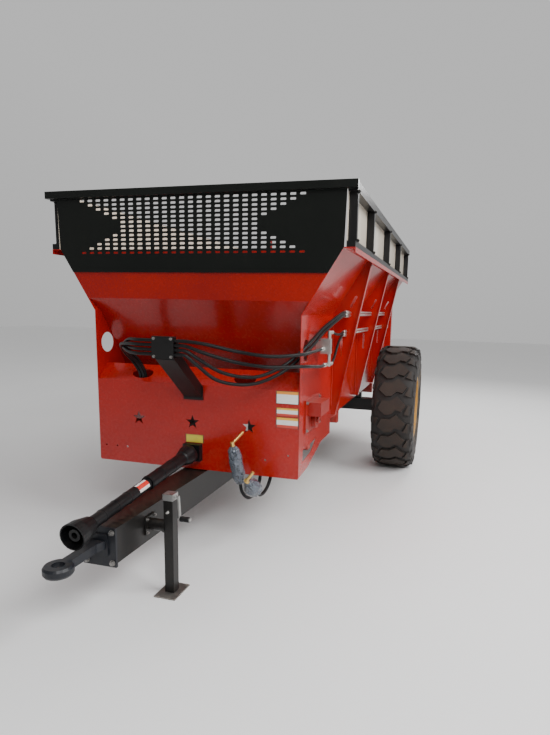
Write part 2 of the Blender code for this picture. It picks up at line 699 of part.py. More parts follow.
def make_drawbar(black, steel):
    half = BAR_W / 2
    bar = block((-half, half), (BAR_FRONT, BAR_END), BAR_Z)
    parts = [bar]
    under = LONG_Z[0] - 0.060 - GAP
    for y in (CROSS_Y[0], CROSS_Y[1]):
        parts.append(block((-half + 0.01, half - 0.01), (y - 0.035, y + 0.035), (BAR_Z[1] - 0.01, under)))
    finish(fuse(*parts), "drawbar", black)
    back = BAR_FRONT - GAP
    front = back - PLATE_T
    plate = block((-half - 0.008, half + 0.008), (front, back), (BAR_Z[0] - 0.016, BAR_Z[1] + 0.006))
    half_t = EYE_T / 2
    rim = [(0, -half_t), (EYE_R - 0.008, -half_t), (EYE_R, 0.012 - half_t), (EYE_R, half_t - 0.012)]
    rim += [(EYE_R - 0.008, half_t), (0, half_t)]
    ring = turned(rim, (0, EYE_Y, EYE_Z), (0, EYE_Y, EYE_Z + 1), 32)
    shank = [(-0.050, front + 0.004), (-0.030, front - 0.060), (-0.028, EYE_Y + 0.05)]
    shank += [(-x, y) for x, y in reversed(shank)]
    neck = prism(shank, "z", EYE_Z - 0.024, EYE_Z + 0.024)
    root = block((-0.060, 0.060), (front - 0.012, front + 0.004), (EYE_Z - 0.060, EYE_Z + 0.060))
    eye = fuse(plate, neck, root, ring)
    eye = cut(eye, rod((0, EYE_Y, EYE_Z - 0.1), (0, EYE_Y, EYE_Z + 0.1), EYE_HOLE, 32))
    finish(eye, "hitch_eye", steel, smooth=True)


def make_jack(black, zinc, grey):
    face = BAR_W / 2 + GAP
    h = JACK_TUBE / 2
    collar = JACK_X - h - 0.012
    z = JACK_MOUNT_Z
    plate = block((face, face + 0.010), (JACK_Y - 0.055, JACK_Y + 0.055), (z - 0.055, z + 0.055))
    spigot = rod((face + 0.004, JACK_Y, z), (collar - GAP, JACK_Y, z), 0.036, 32)
    finish(fuse(plate, spigot), "jack_mount", black, smooth=True)
    top = JACK_TOP
    foot_top = FOOT[2]
    body = block((JACK_X - h, JACK_X + h), (JACK_Y - h, JACK_Y + h), (foot_top + GAP, top))
    ring = rod((collar, JACK_Y, z), (JACK_X - h + 0.004, JACK_Y, z), 0.042, 32)
    inner = h - 0.003
    hole = block((JACK_X - inner, JACK_X + inner), (JACK_Y - inner, JACK_Y + inner), (-0.1, top - 0.035))
    body = cut(fuse(body, ring), hole)
    finish(body, "jack_body", black)
    set_origin(body, (JACK_X, JACK_Y, z))
    cap = block((JACK_X - h - 0.003, JACK_X + h + 0.003), (JACK_Y - h - 0.003, JACK_Y + h + 0.003),
                (top + GAP, top + 0.040))
    shaft = rod((JACK_X + h, JACK_Y, top + 0.020), (JACK_X + h + 0.028, JACK_Y, top + 0.020), 0.008, 16)
    arm = beam((JACK_X + h + 0.024, JACK_Y, top + 0.026), (JACK_X + h + 0.032, JACK_Y, top - 0.120), 0.008, 0.018)
    grip = rod((JACK_X + h + 0.028, JACK_Y, top - 0.114), (JACK_X + h + 0.100, JACK_Y, top - 0.114), 0.012, 16)
    crank = finish(fuse(cap, shaft, arm, grip), "jack_crank", zinc)
    set_origin(crank, (JACK_X, JACK_Y, z))
    leg_half = inner - 0.003
    leg = block((JACK_X - leg_half, JACK_X + leg_half), (JACK_Y - leg_half, JACK_Y + leg_half),
                (foot_top - 0.004, top - 0.060))
    plate = block((JACK_X - FOOT[0] / 2, JACK_X + FOOT[0] / 2), (JACK_Y - FOOT[1] / 2, JACK_Y + FOOT[1] / 2),
                  (0.0, foot_top))
    leg = finish(fuse(leg, plate), "jack_leg", grey)
    set_origin(leg, (JACK_X, JACK_Y, foot_top))


# ---------------------------------------------------------------- power take-off

def make_pto(black, plastic):
    z = PTO_PIVOT[2]
    guard = block((-0.068, 0.068), (-0.050, -GAP), (z - 0.062, z + 0.062))
    ball_y = PTO_PIVOT[1]
    stub = rod((0, -0.010, z), (0, ball_y - 0.003, z), 0.0165, 16)
    arc = [math.radians(a) for a in (-60, -30, 0, 30, 60)]
    ball = [(0, -0.022)] + [(0.022 * math.cos(a), 0.022 * math.sin(a)) for a in arc] + [(0, 0.022)]
    ball = turned(ball, (0, ball_y, z), (0, ball_y - 1, z), 20)
    pocket = rod((0, -0.070, z), (0, -0.020, z), 0.045, 24)
    guard = apply_boolean(guard, [pocket], "DIFFERENCE", "MANIFOLD")
    finish(fuse_closed(guard, stub, ball), "pto_input_guard", black)
    angle = math.radians(PTO_DROP)
    way = Vector((0, -math.cos(angle), -math.sin(angle)))
    pivot = Vector(PTO_PIVOT)
    # rear section: bell, outer tube and the yoke web that meets the ball
    bell = [(PTO_CONE, 0.0), (PTO_CONE, 0.030), (0.052, 0.105), (PTO_TUBE, 0.115), (PTO_TUBE, 0.560)]
    bell += [(PTO_INNER + 0.0005, 0.560), (PTO_INNER + 0.0005, 0.545), (PTO_TUBE - 0.0035, 0.540)]
    bell += [(PTO_TUBE - 0.0035, 0.112), (0.047, 0.102), (PTO_CONE - 0.005, 0.028), (PTO_CONE - 0.005, 0.0)]
    shell = turned(bell, pivot, pivot + way, 24, loop=True)
    web = turned([(0, 0.0225), (0.028, 0.0225), (0.028, 0.118), (PTO_TUBE - 0.001, 0.118),
                  (PTO_TUBE - 0.001, 0.135), (0, 0.135)], pivot, pivot + way, 24)
    rear = finish(fuse_closed(shell, web), "pto_rear_section", plastic, smooth=True)
    set_origin(rear, pivot)
    # front section: inner tube, bell and yoke
    tip = 1.270
    inner = [(0, 0.330), (PTO_INNER, 0.330), (PTO_INNER, tip - 0.150), (0.050, tip - 0.140), (PTO_CONE, tip - 0.060)]
    inner += [(PTO_CONE + 0.004, tip), (PTO_CONE - 0.003, tip), (PTO_CONE - 0.006, tip - 0.055)]
    inner += [(0.044, tip - 0.128), (0.034, tip - 0.128), (0.034, tip - 0.020), (0.018, tip - 0.020)]
    inner += [(0.018, tip - 0.110), (0, tip - 0.110)]
    front = turned(inner, pivot, pivot + way, 24)
    front = finish(front, "pto_front_section", plastic, smooth=True)
    set_origin(front, pivot)


# ---------------------------------------------------------------- hydraulics

HOSE_START_X = -0.450
HOSE_PAIR = ((1, 1), (1, -1), (-1, 1), (-1, -1))
HOSE_STEP = 0.0135
MANIFOLD_Z = (1.030, 1.100)

# where the bundle of four passes, and the two directions in which its hoses lie side by side
BUNDLE = (
    ((HOSE_START_X, 0.060, MANIFOLD_Z[1] + GAP), (-1.0, 0.0, 0.0), (0.0, 1.0, 0.0)),
    ((HOSE_START_X, 0.060, 1.165), (-1.0, 0.0, 0.0), (0.0, 1.0, 0.0)),
    ((-0.454, 0.056, 1.225), (-1.0, 0.0, 0.0), (0.0, 1.0, 0.0)),
    ((-0.468, 0.005, 1.310), (-1.0, 0.0, -0.1), (0.0, 0.85, 0.55)),
    ((-0.462, -0.120, 1.395), (-0.95, -0.1, 0.35), (0.1, 0.6, 0.8)),
    ((-0.395, -0.255, 1.452), (-0.55, -0.30, 0.80), (0.5, 0.8, 0.35)),
)
COLUMN = ((0.042, 0.004), (0.014, -0.010), (-0.014, 0.010), (-0.042, -0.004))


def hose_routes():
    """Route points of the four hoses from the lid opening to the valve and the upper pipes."""
    clamp_y = CLAMP_Y - GAP - HOSE_D / 2
    routes = []
    for i, (pair, z) in enumerate(zip(HOSE_PAIR, CLAMP_HOSES)):
        route = []
        for centre, first, second in BUNDLE:
            out = Vector(first).normalized() * HOSE_STEP * pair[0]
            out += Vector(second).normalized() * HOSE_STEP * pair[1]
            route.append(tuple(Vector(centre) + out))
        rise, back = COLUMN[i]
        route.append((-0.290, -0.350 + back, 1.460 + rise))
        route += [(x, clamp_y, z) for x in (-0.190, -0.140, -0.090, 0.000, 0.090, 0.150)]
        if i == 0:
            route += [(0.270, -0.385, 1.492), (0.480, -0.315, 1.446), (0.680, -0.270, 1.422), (0.840, -0.150, 1.430)]
            route += [(0.872, 0.050, 1.436), (0.866, 0.250, 1.434), (0.864, 0.340, 1.434)]
            route.append((0.864, VALVE_Y[0] - GAP, 1.434))
        elif i == 1:
            route += [(0.270, -0.392, 1.437), (0.480, -0.330, 1.378), (0.680, -0.285, 1.355), (0.860, -0.160, 1.355)]
            route += [(0.908, 0.040, 1.338), (0.900, 0.230, 1.322), (0.890, 0.320, 1.318)]
            route.append((0.890, VALVE_Y[0] - 0.012 - GAP, 1.318))
        elif i == 2:
            route += [(0.230, -0.375, 1.392), (0.360, -0.290, 1.302), (0.540, -0.180, 1.270), (0.690, -0.040, 1.335)]
            route += [(0.784, 0.100, 1.432), (0.830, 0.220, 1.505), (0.868, 0.400, 1.590), (0.925, 0.600, 1.672)]
            route += [(0.946, 0.730, 1.704), (0.947, 0.800, 1.707), (0.947, PIPE_START - GAP, 1.707)]
        else:
            route += [(0.220, -0.372, 1.350), (0.330, -0.300, 1.250), (0.520, -0.195, 1.222), (0.680, -0.055, 1.288)]
            route += [(0.784, 0.090, 1.392), (0.832, 0.215, 1.465), (0.870, 0.400, 1.558), (0.925, 0.600, 1.645)]
            route += [(0.946, 0.730, 1.680), (0.947, 0.800, 1.683), (0.947, PIPE_START - GAP, 1.683)]
        routes.append(route)
    return routes


VALVE_X = (0.846, 0.922)
VALVE_Y = (0.400, 0.460)
VALVE_Z = (1.398, 1.512)
FITTING_X = 0.908
PIPE_START = 0.860
PIPE_END = LENGTH - 0.110
LOWER_START = 0.950


def valve_hose_routes():
    """Two short hoses from the valve's fittings to the lower pipes."""
    x = FITTING_X
    top = [(x, 0.488 + GAP, 1.556), (x, 0.540, 1.556), (0.908, 0.640, 1.540), (0.916, 0.780, 1.532)]
    top += [(0.918, 0.870, 1.543), (0.918, 0.910, 1.546), (0.918, LOWER_START - GAP, 1.546)]
    low = [(x, 0.488 + GAP, 1.318), (x, 0.540, 1.320), (0.908, 0.640, 1.370), (0.912, 0.740, 1.460)]
    low += [(0.917, 0.830, 1.511), (0.918, 0.900, 1.522), (0.918, LOWER_START - GAP, 1.522)]
    return top, low


def tractor_hose_routes():
    """Two hoses that hang below the front panel and come up into their film sleeves."""
    first = [(0.500, 0.080, MANIFOLD_Z[0] - GAP), (0.500, 0.080, 0.940), (0.500, 0.080, 0.760), (0.500, 0.080, 0.590)]
    first += [(0.497, 0.058, 0.470), (0.488, -0.010, 0.400), (0.466, -0.090, 0.388), (0.440, -0.135, 0.440)]
    first += [(0.428, -0.146, 0.510)]
    second = [(0.585, 0.080, MANIFOLD_Z[0] - GAP), (0.585, 0.080, 0.940), (0.585, 0.080, 0.760)]
    second += [(0.585, 0.080, 0.600), (0.580, 0.055, 0.495), (0.570, -0.010, 0.432), (0.558, -0.090, 0.420)]
    second += [(0.550, -0.140, 0.460)]
    return first, second


def make_hydraulics(black, rubber, steel, zinc, film, gold):
    # bracket that carries the hoses in front of the panel
    slope_foot = (0.0, -GAP, 1.115)
    slope_top = (0.0, -0.385, 1.420)
    arm = beam((0.0, 0.040, 1.083), slope_top, 0.140, 0.075)
    form = block((-0.5, 0.5), (CLAMP_Y + 0.002, -GAP), (0.9, 1.7))
    arm = keep_inside(arm, form)
    high, low = CLAMP_HOSES[0] + 0.017, CLAMP_HOSES[3] - 0.017
    back = block((-0.080, 0.080), (CLAMP_Y, CLAMP_Y + 0.008), (low - 0.010, high + 0.010))
    y0 = CLAMP_Y - 2 * GAP - HOSE_D - 0.0008
    lips = [block((-0.080, 0.080), (y0 - 0.006, CLAMP_Y + 0.004), (high, high + 0.010))]
    lips.append(block((-0.080, 0.080), (y0 - 0.006, CLAMP_Y + 0.004), (low - 0.010, low)))
    lips.append(block((-0.080, 0.080), (y0 - 0.006, y0), (low - 0.010, high + 0.010)))
    foot = block((-0.078, 0.078), (-0.008, -GAP), (1.055, 1.158))
    neck = block((-0.070, 0.070), (CLAMP_Y + 0.004, CLAMP_Y + 0.060), (1.400, 1.500))
    finish(fuse(arm, back, *lips, foot, neck), "hose_bracket", black)
    # distribution rail behind the front panel
    bar = block((-0.530, 0.640), (SHEET + GAP, 0.110), MANIFOLD_Z)
    finish(bar, "hydraulic_manifold", steel)
    for k, route in enumerate(hose_routes()):
        tube(f"hose_{k + 1}", smooth_route(route, 2.5 * HOSE_D), HOSE_D, rubber)
    # flow valve beside the left wall, with an elbow above and a tee below
    x0, x1 = VALVE_X
    y0, y1 = VALVE_Y
    body = block(VALVE_X, VALVE_Y, VALVE_Z)
    mount = block((HALF + GAP, x0 + 0.004), (y0 + 0.012, y1 - 0.012), (VALVE_Z[0] + 0.02, VALVE_Z[1] - 0.02))
    mid = (y0 + y1) / 2
    x = FITTING_X
    parts = [body, mount, rod((x, mid, VALVE_Z[1] - 0.01), (x, mid, 1.572), 0.014, 12)]
    parts.append(rod((x, mid, 1.556), (x, 0.488, 1.556), 0.012, 12))
    parts.append(rod((x, mid, 1.304), (x, mid, VALVE_Z[0] + 0.01), 0.014, 12))
    parts.append(rod((x, mid, 1.318), (x, 0.488, 1.318), 0.012, 12))
    parts.append(rod((0.890, y0 - 0.012, 1.318), (0.890, mid, 1.318), 0.012, 12))
    parts.append(block((0.880, x), (mid - 0.012, mid + 0.012), (1.306, 1.330)))
    finish(fuse(*parts), "valve_block", zinc)
    top, low = valve_hose_routes()
    tube("valve_hose_top", smooth_route(top, 0.045), 0.020, rubber)
    tube("valve_hose_low", smooth_route(low, 0.045), 0.020, rubber)
    # steel pipes along the left side, clamped together at their front ends
    upper = []
    for (x, z), drop in zip(UPPER_PIPES, (0.0, 0.0)):
        upper.append(rod((x, PIPE_START, z), (x, PIPE_END, z), PIPE_D / 2, 12))
    upper.append(block((0.936, 0.958), (0.900, 0.930), (1.668, 1.722)))
    upper.append(block((0.936, 0.958), (PIPE_END - 0.060, PIPE_END), (1.668, 1.722)))
    finish(fuse(*upper), "pipes_upper", zinc, smooth=True)
    lower = []
    for x, z in LOWER_PIPES:
        lower.append(rod((x, LOWER_START, z), (x, PIPE_END, z), PIPE_D / 2, 12))
    lower.append(block((0.907, 0.929), (0.965, 0.990), (1.507, 1.561)))
    lower.append(block((0.907, 0.929), (PIPE_END - 0.060, PIPE_END), (1.507, 1.561)))
    finish(fuse(*lower), "pipes_lower", zinc, smooth=True)
    # tractor hoses, their film sleeves and couplers
    first, second = tractor_hose_routes()
    first_line = smooth_route(first, 2.5 * HOSE_D)
    second_line = smooth_route(second, 2.5 * HOSE_D)
    tube("tractor_hose_1", first_line, HOSE_D, rubber)
    tube("tractor_hose_2", second_line, HOSE_D, rubber)
    foot, way = Vector(first_line[-1]), (first_line[-1] - first_line[-2]).normalized()
    foot += way * GAP
    sleeve = [(0, 0), (0.026, 0.0), (0.046, 0.060), (0.048, 0.180), (0.040, 0.250), (0.020, 0.275), (0, 0.275)]
    finish(turned(sleeve, foot, foot + way, 20), "hose_sleeve_1", film, smooth=True)
    top = foot + way * (0.275 + GAP)
    bend = top + way * 0.022
    aim = (Vector((0.425, -0.012, STAR_Z - 0.006)) - bend).normalized()
    nut = rod(top, top + way * 0.034, 0.016, 12)
    finish(fuse(nut, rod(bend, bend + aim * 0.130, 0.012, 12)), "coupler_1", gold, smooth=True)
    foot, way = Vector(second_line[-1]), (second_line[-1] - second_line[-2]).normalized()
    foot += way * GAP
    sleeve = [(0, 0), (0.028, 0.0), (0.056, 0.035), (0.060, 0.080), (0.036, 0.140), (0.018, 0.165), (0, 0.165)]
    finish(turned(sleeve, foot, foot + way, 20), "hose_sleeve_2", film, smooth=True)
    top = foot + way * (0.165 + GAP)
    bend = top + way * 0.020
    aim = Vector((0.6, -0.1, 0.8)).normalized()
    nut = rod(top, top + way * 0.030, 0.015, 12)
    finish(fuse(nut, rod(bend, bend + aim * 0.085, 0.011, 12)), "coupler_2", gold, smooth=True)


# ---------------------------------------------------------------- rear end

def make_rear(red, black, steel):
    z0 = LONG_Z[1] + GAP
    beam_top = BEATER_FOOT - 0.055
    # gearbox beam on the rail ends
    box = block((-REAR_HALF, REAR_HALF), (POST_Y0 - 0.060, LONG_END), (z0, beam_top))
    parts = [box]
    for side in (-1, 1):
        parts.append(rod((side * BEATER_X, BEATER_Y, beam_top - 0.01), (side * BEATER_X, BEATER_Y, BEATER_FOOT - GAP), 0.110, 32))
    finish(fuse(*parts), "beater_gearbox", red)
    # side posts with their deflector plates
    x0 = REAR_HALF + GAP
    post = block((x0, x0 + 0.080), (POST_Y0, POST_Y0 + 0.100), (z0, ARCH_TOP))
    plate = block((x0, x0 + 0.006), (LENGTH + 0.090, POST_Y0 + 0.004), (z0, ARCH_TOP - 0.100))
    side = finish(fuse(post, plate), "rear_side_left", red)
    mirrored(side, "rear_side_right", red)
    top = block((-REAR_HALF, REAR_HALF), (POST_Y0, POST_Y0 + 0.080), (ARCH_TOP - 0.080, ARCH_TOP))
    caps = []
    for s in (-1, 1):
        caps.append(rod((s * BEATER_X, BEATER_Y, ARCH_TOP - 0.100), (s * BEATER_X, BEATER_Y, ARCH_TOP - 0.070), 0.060, 24))
    finish(fuse(top, *caps), "beater_top_beam", red)
    # gate with its rods, guides, and the barrels
    y0 = GATE_Y
    gate = block((-GATE_HALF, GATE_HALF), (y0, y0 + GATE_T), (GATE_FOOT, GATE_TOP))
    bar = block((-GATE_HALF + 0.030, GATE_HALF - 0.030), (y0 + 0.002, y0 + 0.060), (GATE_TOP - 0.060, GATE_TOP - 0.004))
    rib = block((-GATE_HALF + 0.06, GATE_HALF - 0.06), (y0 + 0.004, y0 + 0.030), (1.50, 1.55))
    parts = [gate, bar, rib]
    rod_x, rod_y = GATE_HALF - 0.090, y0 + 0.100
    for s in (-1, 1):
        parts.append(block(tuple(sorted((s * (rod_x - 0.025), s * (rod_x + 0.025)))), (y0 + 0.05, rod_y + 0.025),
                           (GATE_TOP - 0.050, GATE_TOP - 0.010)))
        parts.append(rod((s * rod_x, rod_y, 1.080), (s * rod_x, rod_y, GATE_TOP - 0.03), 0.015, 16))
    finish(fuse(*parts), "rear_gate", red)
    zb = 1.050
    barrel = turned([(0, 0), (0.034, 0), (0.034, 0.900), (0.0200, 0.900), (0.0200, 0.885), (0.027, 0.880),
                     (0.027, 0.020), (0, 0.020)], (rod_x, rod_y, zb), (rod_x, rod_y, zb + 1), 24)
    ear = block((rod_x + 0.020, REAR_HALF), (rod_y - 0.012, rod_y + 0.012), (zb + 0.05, zb + 0.15))
    ear2 = block((rod_x + 0.030, REAR_HALF), (rod_y - 0.012, rod_y + 0.012), (zb + 0.75, zb + 0.85))
    barrel = finish(fuse(barrel, ear, ear2), "gate_barrel_left", black, smooth=True)
    mirrored(barrel, "gate_barrel_right", black)
    # channel guides for the gate's edges
    edge = GATE_HALF
    seat = max(edge + 0.030, HALF + 0.020)
    out = [(edge - 0.020, LENGTH + GAP), (seat, LENGTH + GAP), (seat, y0 + GATE_T + RUN + 0.006)]
    out += [(edge - 0.020, y0 + GATE_T + RUN + 0.006), (edge - 0.020, y0 + GATE_T + RUN)]
    out += [(edge + RUN, y0 + GATE_T + RUN), (edge + RUN, y0 - RUN), (edge - 0.020, y0 - RUN)]
    guide = prism(out, "z", SILL_Z + 0.003, MAST_TOP)
    stop_in = prism([(edge - 0.020, y0 - RUN - 0.004), (edge + RUN + 0.004, y0 - RUN - 0.004),
                     (edge + RUN + 0.004, y0 + GATE_T + RUN + 0.004), (edge - 0.020, y0 + GATE_T + RUN + 0.004)],
                    "z", GATE_FOOT - 0.030, GATE_FOOT - GAP)
    guide = finish(fuse(guide, stop_in), "gate_guide_left", red)
    mirrored(guide, "gate_guide_right", red)


def make_beater(name, side, mat):
    """Upright beater: shaft, spinner disc with paddles, and one helical flight."""
    x = side * BEATER_X
    foot = BEATER_FOOT
    shaft = rod((x, BEATER_Y, foot), (x, BEATER_Y, ARCH_TOP - 0.100 - GAP - RUN), 0.050, 12)
    disc = rod((x, BEATER_Y, foot + 0.004), (x, BEATER_Y, foot + 0.014), BEATER_R, 32)
    paddles = []
    for k in range(4):
        angle = math.pi / 2 * k
        bar = block((0.04, BEATER_R - 0.01), (-0.005, 0.005), (foot + 0.010, foot + 0.110))
        bar.data.transform(Matrix.Translation((x, BEATER_Y, 0)) @ Matrix.Rotation(angle, 4, "Z"))
        paddles.append(bar)
    flight = make_flight(x, side, foot + 0.125, BEATER_TOP)
    beater = finish(fuse_closed(shaft, disc, *paddles, flight), name, mat)
    set_origin(beater, (x, BEATER_Y, foot))


def make_flight(x, side, low, high):
    """Helical plate around the shaft, turning opposite ways on the two beaters."""
    turns = 2.5
    steps = int(turns * 14)
    bm = bmesh.new()
    rings = []
    for k in range(steps + 1):
        share = k / steps
        angle = side * 2 * math.pi * turns * share
        z = low + (high - low - 0.010) * share
        c, s = math.cos(angle), math.sin(angle)
        ring = []
        for radius, rise in ((0.030, 0.0), (0.270, 0.0), (0.270, 0.012), (0.030, 0.012)):
            ring.append(bm.verts.new((x + radius * c, BEATER_Y + radius * s, z + rise)))
        rings.append(ring)
    # upper and lower faces are split along the same diagonal, so that the thin plate never crosses itself
    for a, b in zip(rings, rings[1:]):
        for i in (0, 1, 3):
            j = (i + 1) % 4
            bm.faces.new((a[i], a[j], b[j]))
            bm.faces.new((a[i], b[j], b[i]))
        bm.faces.new((a[2], a[3], b[2]))
        bm.faces.new((a[3], b[3], b[2]))
    bm.faces.new(rings[0][::-1])
    bm.faces.new(rings[-1])
    return add("flight", bm)


# ---------------------------------------------------------------- build

def main():
    clear_scene()
    red = material("hopper_red", (0.53, 0.022, 0.010), 0.30)
    black = material("frame_black", (0.012, 0.013, 0.012), 0.35)
    cream = material("panel_cream", (0.66, 0.60, 0.50), 0.25)
    yellow = material("rim_yellow", (0.55, 0.26, 0.030), 0.40)
    rubber = material("tyre_rubber", (0.050, 0.042, 0.036), 0.85)
    hose = material("hose_rubber", (0.012, 0.012, 0.013), 0.50)
    plastic = material("guard_plastic", (0.015, 0.015, 0.016), 0.50)
    steel = material("dark_steel", (0.060, 0.065, 0.080), 0.45, 0.8)
    zinc = material("zinc_plate", (0.45, 0.45, 0.44), 0.35, 0.9)
    gold = material("yellow_zinc", (0.60, 0.38, 0.12), 0.35, 0.9)
    film = material("film_blue", (0.16, 0.20, 0.27), 0.35)
    make_hopper_sides(red)
    make_front_wall(red)
    make_front_housing(red)
    make_floor(red, steel)
    make_conveyor_shafts(red, steel)
    make_boards(black, cream)
    make_chassis(black, red)
    make_axle(black)
    make_wheels(yellow, rubber)
    make_drawbar(black, steel)
    make_jack(black, zinc, black)
    make_pto(black, plastic)
    make_hydraulics(black, hose, steel, zinc, film, gold)
    make_rear(red, black, steel)
    make_beater("beater_left", 1, red)
    make_beater("beater_right", -1, red)
    for obj in bpy.data.objects:
        obj.location.y += SHIFT


main()
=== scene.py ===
"""Looks of the towed manure spreader: paint, rubber, steel, hoses, tread, perforations and fastenings.

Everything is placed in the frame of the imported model: metres, X to the machine's left, Y to the rear, Z up.
Lengths written from the front panel (Y = 0) are moved by SHIFT into that frame.
"""

import math

import bmesh
import bpy
from mathutils import Matrix, Vector, noise


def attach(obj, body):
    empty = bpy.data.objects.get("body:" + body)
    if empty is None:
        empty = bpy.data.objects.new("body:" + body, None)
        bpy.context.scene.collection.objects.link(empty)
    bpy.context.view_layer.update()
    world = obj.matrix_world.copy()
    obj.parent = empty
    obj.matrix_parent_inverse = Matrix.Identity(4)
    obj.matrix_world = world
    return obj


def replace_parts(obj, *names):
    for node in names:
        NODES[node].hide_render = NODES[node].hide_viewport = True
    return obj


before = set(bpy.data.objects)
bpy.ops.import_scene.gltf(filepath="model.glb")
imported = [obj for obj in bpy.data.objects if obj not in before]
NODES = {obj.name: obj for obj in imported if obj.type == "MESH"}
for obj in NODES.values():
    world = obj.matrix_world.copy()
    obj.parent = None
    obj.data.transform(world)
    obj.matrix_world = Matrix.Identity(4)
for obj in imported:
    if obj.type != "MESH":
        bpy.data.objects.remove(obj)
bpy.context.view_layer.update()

bl_info = {
    "name": "Manure spreader looks",
    "version": (1, 0, 0),
    "blender": (4, 5, 0),
    "location": "View3D > Sidebar > Spreader",
    "description": "Paint, tread, hoses, perforated board, fastenings and stage of a towed manure spreader",
    "category": "Object",
}

SHIFT = -1.6645                     # from the front panel's Y to the frame's Y

# ---------------------------------------------------------------- sizes shared with the structure

HALF = 0.809                        # half width over the upright side walls
AXLE = Vector((0.0, 2.544 + SHIFT, 0.674))
TRACK_HALF = 1.246                  # from the middle to a wheel's own middle
NUT_SEAT, NUT_CIRCLE = 0.0373, 0.17  # wheel nuts: out from the wheel's middle, and their circle's radius
BEARING_X = 0.8213                  # plane the bearing bolts sit on
WELD_Z = (0.90, 1.25, 1.62)         # heights each rib's weld bead passes
RIB_Y = (1.020, 2.200, 3.300)
POST_Y = (0.060, 0.800, 1.850, 2.900, 3.950)
FRAME_X, POST_DEPTH = 1.100, 0.060  # inner plane of the side frames, and their posts
PTO = Vector((0.0, -0.085 + SHIFT, 0.665))  # where the drive shaft starts
PTO_DROP = math.radians(5.1)        # its fall towards the front
PTO_WAY = Vector((0.0, -math.cos(PTO_DROP), -math.sin(PTO_DROP)))
HOSE_D = 0.024
GAP = 0.0003                        # keeps faces that meet from lying in one plane
STICKER_R, STICKER_AT = (0.0366, 0.0374), (0.585, 0.700)  # on the shaft: both skins' radii, both ends' distances
STICKER_FROM, STICKER_SWEEP = -5, 105                     # its angles round the shaft, in degrees
CAMERA_AT = (1.801, -5.1825, 1.721)
CAMERA_TURN = (15.403, 9.488, 1.299)  # degrees: from +Y towards -X, downwards, and rolled
CAMERA_SHIFT = (-0.0381, 0.0434)


def place(x, y, z):
    """A point written from the front panel, in the frame."""
    return Vector((x, y + SHIFT, z))


# ---------------------------------------------------------------- mesh helpers

def clean_copy(node):
    """The merged mesh of a structure node, free to be changed."""
    bm = bmesh.new()
    bm.from_mesh(NODES[node].data)
    bmesh.ops.remove_doubles(bm, verts=bm.verts[:], dist=2e-5)
    return bm


def as_object(name, bm, material, smooth=None):
    """Links a new object made from bm; smooth is the angle, in degrees, past which an edge stays sharp."""
    mesh = bpy.data.meshes.new(name)
    bm.to_mesh(mesh)
    bm.free()
    mesh.materials.clear()
    mesh.materials.append(material)
    obj = bpy.data.objects.new(name, mesh)
    bpy.context.scene.collection.objects.link(obj)
    if smooth is not None:
        shade(obj, smooth)
    return obj


def shade(obj, angle):
    mesh = obj.data
    mesh.polygons.foreach_set("use_smooth", [True] * len(mesh.polygons))
    mesh.set_sharp_from_angle(angle=math.radians(angle))
    mesh.update()


def add_box(bm, low, high, turn=None):
    """Box between two corners, then moved by a matrix."""
    made = bmesh.ops.create_cube(bm, size=1.0)["verts"]
    low, high = Vector(low), Vector(high)
    for v in made:
        v.co = Vector([c * s + m for c, s, m in zip(v.co, high - low, (low + high) / 2)])
        if turn:
            v.co = turn @ v.co
    return made


def frame_on(axis, hint=(0.0, 0.0, 1.0)):
    """Rotation whose Z is the given axis."""
    z = Vector(axis).normalized()
    x = Vector(hint).cross(z)
    if x.length < 1e-4:
        x = Vector((0.0, 1.0, 0.0)).cross(z)
    x.normalize()
    return Matrix((x, z.cross(x), z)).transposed()


def add_turned(bm, profile, start, axis, sides=24, closed=False, hint=(0.0, 0.0, 1.0)):
    """Profile of (radius, distance along the axis) turned about it; a zero radius closes an end to a point."""
    turn = frame_on(axis, hint)
    start = Vector(start)
    rings = []
    for radius, along in profile:
        if radius < 1e-7:
            rings.append([bm.verts.new(start + turn @ Vector((0, 0, along)))])
            continue
        rings.append([bm.verts.new(start + turn @ Vector((radius * math.cos(math.tau * k / sides),
                                                          radius * math.sin(math.tau * k / sides), along)))
                      for k in range(sides)])
    pairs = list(zip(rings, rings[1:]))
    if closed:
        pairs.append((rings[-1], rings[0]))
    faces = []
    for a, b in pairs:
        for k in range(sides):
            corner = [a[k % len(a)], a[(k + 1) % len(a)], b[(k + 1) % len(b)], b[k % len(b)]]
            kept = [v for i, v in enumerate(corner) if v not in corner[:i]]
            if len(kept) > 2:
                faces.append(bm.faces.new(kept))
    return faces


def face_out(bm):
    bmesh.ops.recalc_face_normals(bm, faces=bm.faces[:])
    return bm


def skin(bm, rings):
    """Faces from each ring to the next, and one over each end."""
    n = len(rings[0])
    for a, b in zip(rings, rings[1:]):
        for k in range(n):
            bm.faces.new((a[k], a[(k + 1) % n], b[(k + 1) % n], b[k]))
    bm.faces.new(rings[0][::-1])
    bm.faces.new(rings[-1])


